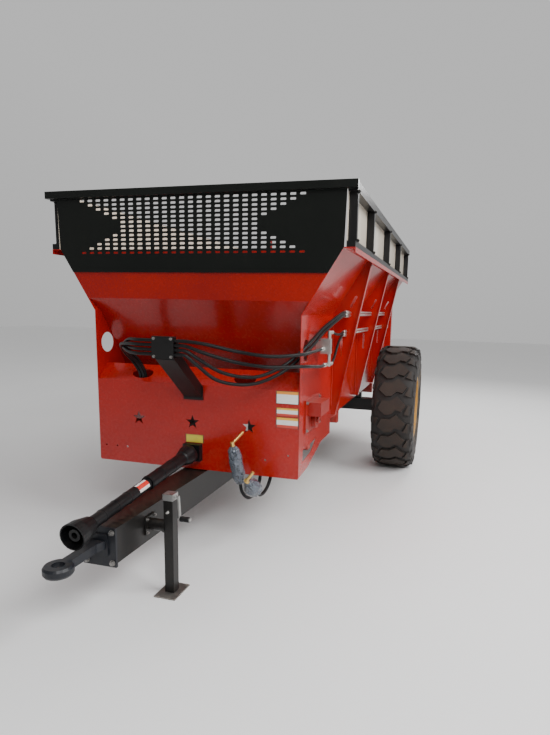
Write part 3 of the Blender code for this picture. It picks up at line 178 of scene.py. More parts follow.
def smooth_route(points, spacing):
    """Evenly spaced points on a centripetal Catmull-Rom curve through the route's own points."""
    pts = [Vector(p) for p in points]
    pts = [pts[0] * 2 - pts[1]] + pts + [pts[-1] * 2 - pts[-2]]
    fine = []
    for p0, p1, p2, p3 in zip(pts, pts[1:], pts[2:], pts[3:]):
        t1 = (p1 - p0).length ** 0.5
        t2 = t1 + (p2 - p1).length ** 0.5
        t3 = t2 + (p3 - p2).length ** 0.5
        for k in range(24):
            t = t1 + (t2 - t1) * k / 24
            a1 = p0 * ((t1 - t) / t1) + p1 * (t / t1)
            a2 = p1 * ((t2 - t) / (t2 - t1)) + p2 * ((t - t1) / (t2 - t1))
            a3 = p2 * ((t3 - t) / (t3 - t2)) + p3 * ((t - t2) / (t3 - t2))
            b1 = a1 * ((t2 - t) / t2) + a2 * (t / t2)
            b2 = a2 * ((t3 - t) / (t3 - t1)) + a3 * ((t - t1) / (t3 - t1))
            fine.append(b1 * ((t2 - t) / (t2 - t1)) + b2 * ((t - t1) / (t2 - t1)))
    fine.append(pts[-2])
    lengths = [0.0]
    for a, b in zip(fine, fine[1:]):
        lengths.append(lengths[-1] + (b - a).length)
    count = max(4, round(lengths[-1] / spacing))
    even = []
    k = 0
    for i in range(count + 1):
        goal = lengths[-1] * i / count
        while k < len(fine) - 2 and lengths[k + 1] < goal:
            k += 1
        share = (goal - lengths[k]) / (lengths[k + 1] - lengths[k])
        even.append(fine[k].lerp(fine[k + 1], share))
    return even


def route_length(points):
    return sum((b - a).length for a, b in zip(points, points[1:]))


def frames_along(points):
    """Turning-free frames (side, up) along a route, and the distance of each point."""
    out, at = [], 0.0
    way = (points[1] - points[0]).normalized()
    side = way.orthogonal().normalized()
    for i, p in enumerate(points):
        ahead = points[min(i + 1, len(points) - 1)] - points[max(i - 1, 0)]
        way = ahead.normalized()
        side = (side - way * side.dot(way)).normalized()
        if i:
            at += (p - points[i - 1]).length
        out.append((p, side, way.cross(side), at))
    return out


def hose_mesh(name, points, diameter, material, sides=16):
    """Round hose along points with filled ends; its UV map runs along the hose, in metres."""
    bm = bmesh.new()
    uv = bm.loops.layers.uv.new("UVMap")
    rings = []
    stations = frames_along(points)
    for p, side, up, _ in stations:
        rings.append([bm.verts.new(p + (side * math.cos(math.tau * k / sides) + up * math.sin(math.tau * k / sides))
                                   * diameter / 2) for k in range(sides)])
    for i, (a, b) in enumerate(zip(rings, rings[1:])):
        for k in range(sides):
            face = bm.faces.new((a[k], a[(k + 1) % sides], b[(k + 1) % sides], b[k]))
            face.smooth = True
            for loop, (u, v) in zip(face.loops, ((k, i), (k + 1, i), (k + 1, i + 1), (k, i + 1))):
                loop[uv].uv = (u / sides, stations[v][3])
    bm.faces.new(rings[0][::-1])
    bm.faces.new(rings[-1])
    obj = as_object(name, bm, material, 50)
    return obj


# ---------------------------------------------------------------- shader maths

class Value:
    """A node's output that takes part in arithmetic."""

    def __init__(self, finish, socket):
        self.finish = finish
        self.socket = socket

    def _math(self, operation, *values):
        return self.finish.add("ShaderNodeMath", {"operation": operation}, dict(enumerate(values)))

    def __add__(self, other):
        return self._math("ADD", self, other)

    __radd__ = __add__

    def __sub__(self, other):
        return self._math("SUBTRACT", self, other)

    def __rsub__(self, other):
        return self._math("SUBTRACT", other, self)

    def __mul__(self, other):
        return self._math("MULTIPLY", self, other)

    __rmul__ = __mul__

    def __truediv__(self, other):
        return self._math("DIVIDE", self, other)

    def __pow__(self, other):
        return self._math("POWER", self, other)

    def over(self, level):
        return self._math("GREATER_THAN", self, level)

    def max(self, other):
        return self._math("MAXIMUM", self, other)

    def min(self, other):
        return self._math("MINIMUM", self, other)

    def abs(self):
        return self._math("ABSOLUTE", self)

    def wave(self, period):
        """Sine of the value, from 0 to 1, once each period."""
        return self._math("SINE", self * (math.tau / period)) * 0.5 + 0.5

    def ramp(self, low, high, to_low=0.0, to_high=1.0):
        """Smooth step from to_low to to_high as the value goes from low to high."""
        settings = {"interpolation_type": "SMOOTHSTEP"}
        return self.finish.add("ShaderNodeMapRange", settings, {0: self, 1: low, 2: high, 3: to_low, 4: to_high})


class Finish:
    """One material's node tree, with one method that adds any node."""

    def __init__(self, name, **fixed):
        self.material = bpy.data.materials.new(name)
        self.material.use_nodes = True
        self.tree = self.material.node_tree
        self.shader = self.tree.nodes["Principled BSDF"]
        for socket, value in fixed.items():
            self.shader.inputs[socket.replace("_", " ")].default_value = value
        self.place = self.add("ShaderNodeTexCoord", output="Object")

    def add(self, kind, settings=None, sockets=None, output=0):
        node = self.tree.nodes.new(kind)
        for key, value in (settings or {}).items():
            setattr(node, key, value)
        for key, value in (sockets or {}).items():
            if isinstance(value, Value):
                self.tree.links.new(value.socket, node.inputs[key])
            else:
                node.inputs[key].default_value = value
        return Value(self, node.outputs[output])

    def noise(self, scale, detail=4.0, rough=0.55, stretch=None, distort=0.0):
        """Fractal noise from 0 to 1 over the piece's own metres; stretch multiplies each axis first."""
        where = self.place
        if stretch:
            where = self.add("ShaderNodeMapping", sockets={0: where, 3: stretch})
        return self.add("ShaderNodeTexNoise", sockets={"Vector": where, "Scale": scale, "Detail": detail,
                                                       "Roughness": rough, "Distortion": distort})

    def cells(self, scale, feature="F1", output="Distance"):
        return self.add("ShaderNodeTexVoronoi", {"feature": feature},
                        {"Vector": self.place, "Scale": scale}, output)

    def axis(self, name, where=None):
        return self.add("ShaderNodeSeparateXYZ", sockets={0: where or self.place}, output=name)

    def facing(self, name="Z"):
        """One part of the surface's direction: Z is 1 on top faces and -1 below."""
        normal = self.add("ShaderNodeNewGeometry", output="Normal")
        return self.axis(name, normal)

    def mix(self, share, first, second, blend="MIX"):
        """Colour between two colours."""
        full = [c if isinstance(c, Value) else (*c, 1.0) for c in (first, second)]
        return self.add("ShaderNodeMix", {"data_type": "RGBA", "blend_type": blend, "clamp_factor": True},
                        {0: share, 6: full[0], 7: full[1]}, 2)

    def set(self, socket, value):
        if isinstance(value, Value):
            self.tree.links.new(value.socket, self.shader.inputs[socket])
        elif socket == "Base Color" and len(value) == 3:
            self.shader.inputs[socket].default_value = (*value, 1.0)
        else:
            self.shader.inputs[socket].default_value = value

    def bump(self, height, strength, distance):
        normal = self.add("ShaderNodeBump", sockets={"Height": height, "Strength": strength, "Distance": distance})
        self.set("Normal", normal)


FINISHES = {}


def finish_named(name):
    """The material of that name, made on first use."""
    if name not in FINISHES:
        FINISHES[name] = RECIPES[name](name)
    return FINISHES[name]


DUST = (0.33, 0.25, 0.17)


def painted(name, colour, deep, gloss, dust=0.5, dust_top=0.25, orange_peel=0.02, chips=0.0, streaks=0.0, coat=0.30):
    """Sprayed enamel: two tones of the colour, orange peel, dust that gathers low and on ledges, fine scratches."""
    f = Finish(name, Coat_Roughness=0.10, Specular_IOR_Level=0.30)
    cloud = f.noise(1.6, 3.0)
    fine = f.noise(38.0, 5.0, 0.62)
    speck = f.noise(210.0, 2.0)
    tone = f.mix(cloud.ramp(0.20, 0.85), colour, deep)
    height = f.axis("Z")
    low = height.ramp(1.25, 0.35) * dust
    ledge = f.facing("Z").ramp(0.55, 0.95) * dust_top
    film = (low + ledge) * fine.ramp(0.30, 0.72) + cloud.ramp(0.58, 0.80) * fine.ramp(0.45, 0.75) * (0.08 * dust)
    if streaks:
        run = f.noise(1.0, 4.0, 0.6, stretch=(16.0, 16.0, 1.1))
        film = film + run.ramp(0.56, 0.74) * fine.ramp(0.35, 0.70) * streaks
    film = film.min(0.85)
    dirty = f.mix(film, tone, DUST)
    if chips:
        worn = f.noise(14.0, 7.0, 0.72).ramp(0.66, 0.70) * speck.ramp(0.42, 0.50) * chips
        dirty = f.mix(worn, dirty, (0.10, 0.06, 0.045))
        f.set("Metallic", worn * 0.5)
    f.set("Base Color", dirty)
    f.set("Roughness", (film * 0.55 + fine * 0.06 + gloss).min(0.95))
    f.set("Coat Weight", (coat - film * 0.6).max(0.0))
    f.bump(f.noise(150.0, 2.0) * 0.6 + f.noise(420.0, 1.0) * 0.25 + fine * 0.04, orange_peel, 0.003)
    return f.material


def bare_metal(name, colour, stain, rough, grain=(1.0, 1.0, 14.0), stained=0.4, bump=0.05):
    """Plated or worn steel: brushed grain, blotches and darker stain in patches."""
    f = Finish(name, Metallic=1.0)
    blotch = f.noise(22.0, 5.0, 0.6)
    wide = f.noise(4.0, 3.0)
    line = f.noise(160.0, 3.0, 0.6, stretch=grain)
    mark = (blotch.ramp(0.48, 0.74) * 0.7 + wide.ramp(0.45, 0.75) * 0.5) * stained
    tone = f.mix(line.ramp(0.35, 0.65) * 0.35, colour, [c * 0.72 for c in colour])
    f.set("Base Color", f.mix(mark.min(1.0), tone, stain))
    f.set("Metallic", 1.0 - mark.min(0.8))
    f.set("Roughness", mark * 0.35 + line * 0.12 + rough)
    f.bump(line * 0.6 + blotch * 0.4, bump, 0.003)
    return f.material


def rubber_hose(name):
    """Braided black hose: woven cover along its own length, dust on top."""
    f = Finish(name, Specular_IOR_Level=0.22)
    uv = f.add("ShaderNodeTexCoord", output="UV")
    along, around = f.axis("Y", uv), f.axis("X", uv)
    weave = (along * 1.0 + around * 0.024).wave(0.0032) * (along - around * 0.024).wave(0.0032)
    cloud = f.noise(26.0, 4.0)
    dust = f.facing("Z").ramp(0.15, 0.95) * cloud.ramp(0.30, 0.70) * 0.05
    cover = f.mix(cloud, (0.0040, 0.0040, 0.0045), (0.0090, 0.0090, 0.0095))
    f.set("Base Color", f.mix(dust, cover, (0.16, 0.13, 0.10)))
    f.set("Roughness", dust * 0.8 + cloud * 0.12 + 0.30)
    f.bump(weave * 0.6 + f.noise(240.0, 2.0) * 0.4, 0.18, 0.001)
    return f.material


def moulded_guard(name):
    """Black moulded plastic: fine pebble, scuffs, dried dust on upward faces."""
    f = Finish(name, Specular_IOR_Level=0.28)
    scuff = f.noise(30.0, 6.0, 0.7, stretch=(1.0, 0.25, 1.0))
    pebble = f.cells(420.0)
    dust = f.facing("Z").ramp(0.2, 1.0) * scuff.ramp(0.35, 0.75) * 0.06
    tone = f.mix(scuff.ramp(0.55, 0.78), (0.0050, 0.0050, 0.0058), (0.016, 0.0155, 0.016))
    f.set("Base Color", f.mix(dust, tone, (0.20, 0.165, 0.125)))
    f.set("Roughness", dust * 0.5 + scuff * 0.20 + 0.30)
    f.bump(pebble * 0.5 + scuff * 0.5, 0.12, 0.0015)
    return f.material


def tyre_rubber(name):
    """Dusty carcass rubber: brown dust on the tread blocks, and darker grooves that are painted shade, with a fine
    mould grain.
    """
    f = Finish(name, Specular_IOR_Level=0.35)
    centre = f.add("ShaderNodeVectorMath", {"operation": "SUBTRACT"}, {0: f.place, 1: (0.0, AXLE.y, AXLE.z)})
    away = f.add("ShaderNodeCombineXYZ", sockets={1: f.axis("Y", centre), 2: f.axis("Z", centre)})
    radius = f.add("ShaderNodeVectorMath", {"operation": "LENGTH"}, {0: away}, "Value")
    cloud, fine = f.noise(7.0, 5.0, 0.6), f.noise(60.0, 5.0, 0.65)
    # by radius: brown dust on the block faces, and the grooves kept dark as painted shade in the recesses
    dust = radius.ramp(0.652, 0.669, 0.04, 0.90) * cloud.ramp(0.25, 0.65, 0.55, 1.0)
    dust = dust + fine.ramp(0.55, 0.80) * 0.12
    mud = radius.ramp(0.55, 0.36) * cloud.ramp(0.40, 0.70) * 0.55
    tone = f.mix(fine, (0.012, 0.011, 0.011), (0.026, 0.023, 0.021))
    dirty = f.mix(dust.min(1.0), tone, f.mix(cloud, (0.026, 0.0185, 0.0145), (0.048, 0.034, 0.026)))
    f.set("Base Color", f.mix(mud, dirty, (0.24, 0.16, 0.09)))
    f.set("Roughness", dust * 0.20 + fine * 0.12 + 0.58)
    f.bump(fine * 0.6 + f.noise(240.0, 3.0) * 0.4, 0.22, 0.003)
    return f.material


def bubble_film(name):
    """Bluish packing film over the couplings: rows of small bubbles, creases, and cloudy highlights painted along the
    crease ridges.
    """
    f = Finish(name, IOR=1.45, Coat_Roughness=0.08)
    bubble = f.cells(95.0).ramp(0.45, 0.10)
    crease = f.noise(34.0, 6.0, 0.72, distort=1.2)
    ridge = (crease - 0.5).abs().ramp(0.07, 0.0)
    tone = f.mix(crease.ramp(0.35, 0.65), (0.010, 0.014, 0.022), (0.058, 0.072, 0.098))
    # paler colour along the crease ridges: painted highlights on the folds
    tone = f.mix(ridge * 0.45, tone, (0.24, 0.28, 0.34))
    f.set("Base Color", f.mix(bubble * 0.25, tone, (0.16, 0.19, 0.24)))
    f.set("Roughness", crease * 0.25 + 0.12)
    f.set("Coat Weight", crease.ramp(0.3, 0.6, 0.4, 1.0))
    f.bump(bubble * 0.5 + ridge * 0.6 + crease * 0.4, 0.65, 0.004)
    return f.material


def blank_label(name, ground, head, low=None, line=None):
    """Blank sticker: a coloured head band by its own map, a thin border, rubbed print-free face."""
    f = Finish(name, Coat_Weight=0.25, Coat_Roughness=0.2)
    uv = f.add("ShaderNodeTexCoord", output="UV")
    up, across = f.axis("Y", uv), f.axis("X", uv)
    grime = f.noise(40.0, 5.0, 0.65)
    tone = f.mix(up.over(0.74), ground, head)
    if low:
        tone = f.mix(1.0 - up.over(0.30), tone, low)
    edge = (across - 0.5).abs().over(0.465).max((up - 0.5).abs().over(0.465))
    tone = f.mix(edge, tone, line or (0.03, 0.03, 0.03))
    f.set("Base Color", f.mix(grime.ramp(0.50, 0.85) * 0.35, tone, (0.30, 0.24, 0.18)))
    f.set("Roughness", grime * 0.3 + 0.25)
    f.bump(grime, 0.04, 0.001)
    return f.material


def pale_floor(name):
    f = Finish(name)
    cloud = f.noise(1.2, 4.0)
    f.set("Base Color", f.mix(cloud, (0.86, 0.86, 0.86), (0.90, 0.90, 0.895)))
    f.set("Roughness", cloud * 0.08 + 0.62)
    return f.material


RED, DEEP_RED = (0.40, 0.0090, 0.0046), (0.32, 0.0068, 0.0038)
RECIPES = {
    "red_side": lambda n: painted(n, (0.37, 0.0080, 0.0042), (0.29, 0.0060, 0.0034), 0.20, dust=0.07, dust_top=0.10,
                                  orange_peel=0.012, chips=0.12, streaks=0.03),
    "red_front": lambda n: painted(n, RED, DEEP_RED, 0.24, dust=0.02, dust_top=0.05, orange_peel=0.012, chips=0.0),
    # the front wall's red is a darker copy of the same red paint: painted shade on the wall that faces down
    "red_wall": lambda n: painted(n, (0.31, 0.0064, 0.0034), (0.23, 0.0046, 0.0028), 0.24, dust=0.04, dust_top=0.05,
                                  orange_peel=0.012, chips=0.08),
    "red_frame": lambda n: painted(n, (0.31, 0.0075, 0.0042), (0.23, 0.0054, 0.0034), 0.30, dust=0.22, dust_top=0.18,
                                   orange_peel=0.05, chips=0.4, streaks=0.06),
    "hopper_floor_steel": lambda n: bare_metal(n, (0.36, 0.32, 0.28), (0.13, 0.075, 0.045), 0.42, (14, 1, 1), 0.8),
    "black_board": lambda n: painted(n, (0.0030, 0.0040, 0.0032), (0.0050, 0.0062, 0.0050), 0.26, dust=0.012,
                                     dust_top=0.06, orange_peel=0.012, chips=0.05, streaks=0.01, coat=0.08),
    "black_frame": lambda n: painted(n, (0.0042, 0.0040, 0.0044), (0.0080, 0.0076, 0.0074), 0.32, dust=0.018,
                                     dust_top=0.08, orange_peel=0.04, chips=0.12, streaks=0.010, coat=0.03),
    "cream_sheet": lambda n: painted(n, (0.74, 0.66, 0.55), (0.66, 0.58, 0.47), 0.16, dust=0.10, dust_top=0.2,
                                     orange_peel=0.015, streaks=0.08),
    "rim_enamel": lambda n: painted(n, (0.58, 0.30, 0.035), (0.46, 0.22, 0.028), 0.34, dust=0.55, dust_top=0.3,
                                    orange_peel=0.05, chips=1.0, streaks=0.2),
    "eye_forging": lambda n: painted(n, (0.0060, 0.0080, 0.0125), (0.011, 0.013, 0.018), 0.36, dust=0.02,
                                     dust_top=0.04, coat=0.03,
                                     orange_peel=0.12, chips=1.0),
    "zinc_plate": lambda n: bare_metal(n, (0.62, 0.61, 0.58), (0.30, 0.27, 0.22), 0.24, (12, 1, 1), 0.5),
    "galvanised": lambda n: bare_metal(n, (0.44, 0.44, 0.43), (0.16, 0.13, 0.10), 0.38, (1, 1, 6), 0.7, 0.08),
    "leg_steel": lambda n: bare_metal(n, (0.30, 0.28, 0.26), (0.17, 0.12, 0.08), 0.46, (1, 1, 6), 0.9, 0.10),
    "worn_steel": lambda n: bare_metal(n, (0.40, 0.37, 0.34), (0.14, 0.08, 0.05), 0.36, (1, 1, 8), 0.9, 0.12),
    "gold_plate": lambda n: bare_metal(n, (0.78, 0.52, 0.16), (0.32, 0.20, 0.08), 0.26, (1, 1, 8), 0.4, 0.04),
    "fastener": lambda n: bare_metal(n, (0.34, 0.33, 0.32), (0.12, 0.08, 0.06), 0.34, (1, 1, 1), 0.6, 0.06),
    "black_fastener": lambda n: painted(n, (0.014, 0.014, 0.014), (0.028, 0.026, 0.025), 0.32, dust=0.3,
                                        dust_top=0.3, orange_peel=0.05, chips=0.6),
    "weld": lambda n: painted(n, (0.42, 0.016, 0.010), (0.28, 0.012, 0.008), 0.34, dust=0.7, dust_top=0.4,
                              orange_peel=0.25, chips=0.8),
    "black_weld": lambda n: painted(n, (0.012, 0.012, 0.012), (0.024, 0.022, 0.020), 0.36, dust=0.5, dust_top=0.4,
                                    orange_peel=0.25, chips=0.8),
    "rubber_hose": rubber_hose,
    "moulded_guard": moulded_guard,
    "tyre_rubber": tyre_rubber,
    "bubble_film": bubble_film,
    "grip_plastic": lambda n: moulded_guard(n),
    "label_white": lambda n: blank_label(n, (0.78, 0.77, 0.74), (0.78, 0.30, 0.03)),
    "label_stack": lambda n: blank_label(n, (0.76, 0.75, 0.72), (0.80, 0.42, 0.03), low=(0.55, 0.05, 0.03)),
    "label_yellow": lambda n: blank_label(n, (0.66, 0.56, 0.05), (0.58, 0.48, 0.04)),
    "label_red": lambda n: blank_label(n, (0.62, 0.03, 0.02), (0.75, 0.74, 0.72), low=(0.75, 0.74, 0.72)),
    "label_panel": lambda n: blank_label(n, (0.70, 0.66, 0.58), (0.62, 0.62, 0.60), line=(0.25, 0.27, 0.30)),
    "pale_floor": pale_floor,
}

NODE_FINISH = {
    "hopper_side_left": "red_side", "hopper_side_right": "red_side", "front_wall": "red_wall",
    "front_housing": "red_front", "hopper_floor": "hopper_floor_steel",
    "conveyor_chain": "worn_steel", "conveyor_shaft_front": "red_frame", "conveyor_shaft_rear": "red_frame",
    "side_frame_left": "black_frame", "side_frame_right": "black_frame",
    "side_panel_left": "cream_sheet", "side_panel_right": "cream_sheet",
    "rail_left": "red_frame", "rail_right": "red_frame",
    "cross_front": "red_frame", "cross_middle": "red_frame", "cross_rear": "red_frame",
    "axle_beam": "black_frame", "wheel_left": "rim_enamel", "wheel_right": "rim_enamel",
    "drawbar": "black_frame", "hitch_eye": "eye_forging",
    "pto_input_guard": "moulded_guard", "jack_mount": "black_frame", "jack_body": "black_frame",
    "jack_leg": "leg_steel", "jack_crank": "galvanised", "hose_bracket": "black_frame",
    "valve_block": "zinc_plate", "pipes_upper": "zinc_plate", "pipes_lower": "zinc_plate",
    "hydraulic_manifold": "galvanised",
    "rear_side_left": "red_side", "rear_side_right": "red_side", "beater_top_beam": "red_frame",
    "beater_gearbox": "red_frame", "beater_left": "worn_steel", "beater_right": "worn_steel",
    "rear_gate": "red_side", "gate_barrel_left": "black_frame", "gate_barrel_right": "black_frame",
    "gate_guide_left": "red_frame", "gate_guide_right": "red_frame",
    "coupler_1": "gold_plate", "coupler_2": "gold_plate",
    "pto_rear_section": "moulded_guard", "pto_front_section": "moulded_guard",
}


# ---------------------------------------------------------------- repeated pieces by Geometry Nodes

class Tree:
    """A geometry node tree with named inputs, built once and used as a modifier."""

    def __init__(self, name, **inputs):
        self.tree = bpy.data.node_groups.new(name, "GeometryNodeTree")
        self.sockets = {}
        face = self.tree.interface
        face.new_socket("Geometry", in_out="OUTPUT", socket_type="NodeSocketGeometry")
        face.new_socket("Geometry", in_out="INPUT", socket_type="NodeSocketGeometry")
        kinds = {float: "NodeSocketFloat", int: "NodeSocketInt"}
        for key, value in inputs.items():
            made = face.new_socket(key.replace("_", " "), in_out="INPUT", socket_type=kinds[type(value)])
            made.default_value = value
            self.sockets[key] = made.identifier
        made = face.new_socket("Material", in_out="INPUT", socket_type="NodeSocketMaterial")
        self.sockets["Material"] = made.identifier
        self.entry = self.tree.nodes.new("NodeGroupInput")
        self.exit = self.tree.nodes.new("NodeGroupOutput")

    def given(self, name):
        return self.entry.outputs[name]

    def add(self, kind, settings=None, sockets=None):
        node = self.tree.nodes.new(kind)
        for key, value in (settings or {}).items():
            setattr(node, key, value)
        for key, value in (sockets or {}).items():
            if isinstance(value, bpy.types.NodeSocket):
                self.tree.links.new(value, node.inputs[key])
            elif isinstance(value, bpy.types.Node):
                self.tree.links.new(value.outputs[0], node.inputs[key])
            else:
                node.inputs[key].default_value = value
        return node

    def maths(self, operation, *values):
        return self.add("ShaderNodeMath", {"operation": operation}, dict(enumerate(values))).outputs[0]

    def close(self, last):
        """Ends the tree in real geometry with the material on it."""
        real = self.add("GeometryNodeRealizeInstances", sockets={0: last})
        painted_mesh = self.add("GeometryNodeSetMaterial",
                                sockets={"Geometry": real, "Material": self.given("Material")})
        self.tree.links.new(painted_mesh.outputs[0], self.exit.inputs[0])
        return self

    def run(self, base, material, smooth=None, **values):
        """Evaluates the tree on an object and returns it as a plain mesh object of the same name."""
        modifier = base.modifiers.new("Made", "NODES")
        modifier.node_group = self.tree
        for key, value in values.items():
            modifier[self.sockets[key]] = value
        modifier[self.sockets["Material"]] = material
        graph = bpy.context.evaluated_depsgraph_get()
        mesh = bpy.data.meshes.new_from_object(base.evaluated_get(graph), depsgraph=graph)
        name, old = base.name, base.data
        base.modifiers.clear()
        base.data = mesh
        bpy.data.meshes.remove(old)
        mesh.name = name
        if smooth is not None:
            shade(base, smooth)
        return base


def seats_object(name, seats):
    """Points with a facing direction and a turn, for a tree to put copies on."""
    mesh = bpy.data.meshes.new(name)
    mesh.from_pydata([tuple(p) for p, _ in seats], [], [])
    facing = mesh.attributes.new("facing", "FLOAT_VECTOR", "POINT")
    for item, (_, way) in zip(facing.data, seats):
        item.vector = Vector(way).normalized()
    obj = bpy.data.objects.new(name, mesh)
    bpy.context.scene.collection.objects.link(obj)
    return obj


def copies_on_seats(tree, piece):
    """Puts a piece on each incoming point, its Z along the point's facing."""
    facing = tree.add("GeometryNodeInputNamedAttribute", {"data_type": "FLOAT_VECTOR"}, {"Name": "facing"})
    turn = tree.add("FunctionNodeAlignRotationToVector", {"axis": "Z"}, {"Vector": facing.outputs[0]})
    points = tree.add("GeometryNodeMeshToPoints", sockets={0: tree.given("Geometry")})
    return tree.add("GeometryNodeInstanceOnPoints",
                    sockets={"Points": points, "Instance": piece, "Rotation": turn})


def standing(tree, sides, radius, height, foot):
    """A cylinder that stands on Z = foot."""
    body = tree.add("GeometryNodeMeshCylinder", {"fill_type": "NGON"},
                    {"Vertices": sides, "Radius": radius, "Depth": height})
    lift = tree.add("ShaderNodeCombineXYZ", sockets={2: tree.maths("ADD", tree.maths("MULTIPLY", height, 0.5), foot)})
    return tree.add("GeometryNodeTransform", sockets={0: body, "Translation": lift})


def bolt_tree():
    """Hexagon head with its chamfer, washer and shank end."""
    t = Tree("Hexagon bolt", Across=0.018, Height=0.011, Washer=0.013)
    across, height, washer = t.given("Across"), t.given("Height"), t.given("Washer")
    corner = t.maths("MULTIPLY", across, 0.5774)
    plate = standing(t, 14, washer, 0.0022, 0.0)
    head = standing(t, 6, corner, height, 0.0020)
    crown = standing(t, 12, t.maths("MULTIPLY", across, 0.46), 0.0012, t.maths("ADD", height, 0.0012))
    shank = standing(t, 10, t.maths("MULTIPLY", across, 0.27), 0.0045, t.maths("ADD", height, 0.0020))
    whole = t.add("GeometryNodeJoinGeometry")
    for part in (plate, head, crown, shank):
        t.tree.links.new(part.outputs[0], whole.inputs[0])
    return t.close(copies_on_seats(t, whole))


def perforation_tree():
    """Plate of the given outline size whose slots shrink in number towards the middle rows, filled and thickened."""
    t = Tree("Perforated plate", Width=1.90, Height=0.45, Columns=26, Rows=13, Pitch_X=0.0675, Pitch_Z=0.0305,
             Slot=0.038, Slot_height=0.0155, Taper=5, Thickness=0.004)
    outline = t.add("GeometryNodeCurvePrimitiveQuadrilateral",
                    sockets={"Width": t.given("Width"), "Height": t.given("Height")})
    grid = t.add("GeometryNodeMeshGrid", sockets={
        "Size X": t.maths("MULTIPLY", t.given("Pitch X"), t.maths("SUBTRACT", t.given("Columns"), 1.0)),
        "Size Y": t.maths("MULTIPLY", t.given("Pitch Z"), t.maths("SUBTRACT", t.given("Rows"), 1.0)),
        "Vertices X": t.given("Columns"), "Vertices Y": t.given("Rows")})
    where = t.add("ShaderNodeSeparateXYZ", sockets={0: t.add("GeometryNodeInputPosition")})
    half_rows = t.maths("MULTIPLY", t.maths("SUBTRACT", t.given("Rows"), 1.0), 0.5)
    row = t.maths("ABSOLUTE", t.maths("DIVIDE", where.outputs[1], t.given("Pitch Z")))
    inset = t.maths("MINIMUM", t.maths("SUBTRACT", half_rows, row), t.given("Taper"))
    half_columns = t.maths("MULTIPLY", t.maths("SUBTRACT", t.given("Columns"), 1.0), 0.5)
    reach = t.maths("ADD", t.maths("SUBTRACT", half_columns, inset), 0.25)
    column = t.maths("ABSOLUTE", t.maths("DIVIDE", where.outputs[0], t.given("Pitch X")))
    keep = t.maths("LESS_THAN", column, reach)
    slot = t.add("GeometryNodeCurvePrimitiveQuadrilateral",
                 sockets={"Width": t.given("Slot"), "Height": t.given("Slot height")})
    slot = t.add("GeometryNodeFilletCurve", {"mode": "POLY"}, {"Curve": slot, "Count": 2, "Radius": 0.0045})
    points = t.add("GeometryNodeMeshToPoints", sockets={0: grid, 1: keep})
    slots = t.add("GeometryNodeInstanceOnPoints", sockets={"Points": points, "Instance": slot})
    slots = t.add("GeometryNodeRealizeInstances", sockets={0: slots})
    lines = t.add("GeometryNodeJoinGeometry")
    t.tree.links.new(outline.outputs[0], lines.inputs[0])
    t.tree.links.new(slots.outputs[0], lines.inputs[0])
    filled = t.add("GeometryNodeFillCurve", {"mode": "TRIANGLES"}, {0: lines})
    thick = t.add("GeometryNodeExtrudeMesh",
                  sockets={"Mesh": filled, "Offset Scale": t.given("Thickness"), "Individual": False})
    back = t.add("GeometryNodeFlipFaces", sockets={0: filled})
    both = t.add("GeometryNodeJoinGeometry")
    t.tree.links.new(thick.outputs[0], both.inputs[0])
    t.tree.links.new(back.outputs[0], both.inputs[0])
    merged = t.add("GeometryNodeMergeByDistance", sockets={0: both, "Distance": 0.00005})
    return t.close(merged)


def tread_tree():
    """One pitch of tread blocks put round the tyre: the incoming blocks are copied about the wheel's axis."""
    t = Tree("Tread round the tyre", Pitches=22)
    line = t.add("GeometryNodeMeshLine", {"mode": "OFFSET"}, {"Count": t.given("Pitches"), "Offset": (0.0, 0.0, 0.0)})
    step = t.maths("DIVIDE", math.tau, t.given("Pitches"))
    index = t.add("GeometryNodeInputIndex")
    angle = t.maths("MULTIPLY", index.outputs[0], step)
    euler = t.add("ShaderNodeCombineXYZ", sockets={0: angle})
    turn = t.add("FunctionNodeEulerToRotation", sockets={0: euler})
    copies = t.add("GeometryNodeInstanceOnPoints",
                   sockets={"Points": t.add("GeometryNodeMeshToPoints", sockets={0: line}),
                            "Instance": t.given("Geometry"), "Rotation": turn})
    return t.close(copies)


TREES = {}


def tree_named(name):
    if name not in TREES:
        TREES[name] = {"bolt": bolt_tree, "perforation": perforation_tree, "tread": tread_tree}[name]()
    return TREES[name]


def trim(name, bm, finish, body, smooth=None):
    """A piece of added trim that rides on a body."""
    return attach(as_object(name, bm, finish_named(finish), smooth), body)


def bolts(name, body, seats, across=0.018, height=0.011, washer=0.013, material="fastener"):
    """Hexagon bolts on seats, each a point and the direction its head faces; one piece on one body."""
    base = seats_object(name, seats)
    made = tree_named("bolt").run(base, finish_named(material), 35, Across=across, Height=height, Washer=washer)
    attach(made, body)
    return made


# ---------------------------------------------------------------- sizes and colours a user would change

def metres(name, description, default):
    return bpy.props.FloatProperty(name=name, description=description, default=default, unit="LENGTH")


class StageSettings(bpy.types.PropertyGroup):
    lens: bpy.props.FloatProperty(name="Lens", description="Focal length for a 36 mm long side", default=26.24)
    floor_size: metres("Floor", "Side of the pale floor", 60.0)
    key_power: bpy.props.FloatProperty(name="Key light", description="Power of the large soft light", default=620.0)
    fill_power: bpy.props.FloatProperty(name="Fill light", description="Power of the light beside the camera",
                                        default=260.0)
    sky: bpy.props.FloatProperty(name="Sky", description="Strength of the even light from all round", default=0.62)


class BoardSettings(bpy.types.PropertyGroup):
    columns: bpy.props.IntProperty(name="Columns", description="Slots in the longest row", default=26)
    rows: bpy.props.IntProperty(name="Rows", description="Rows of slots", default=13)
    pitch_x: metres("Column pitch", "From slot to slot", 0.0673)
    pitch_z: metres("Row pitch", "From row to row", 0.0306)
    slot_length: metres("Slot length", "Along the row", 0.039)
    slot_height: metres("Slot height", "Across the row", 0.0155)
    middle_x: metres("Middle", "Sideways place of the pattern", -0.0385)
    middle_z: metres("Height", "Height of the pattern's middle", 2.2855)


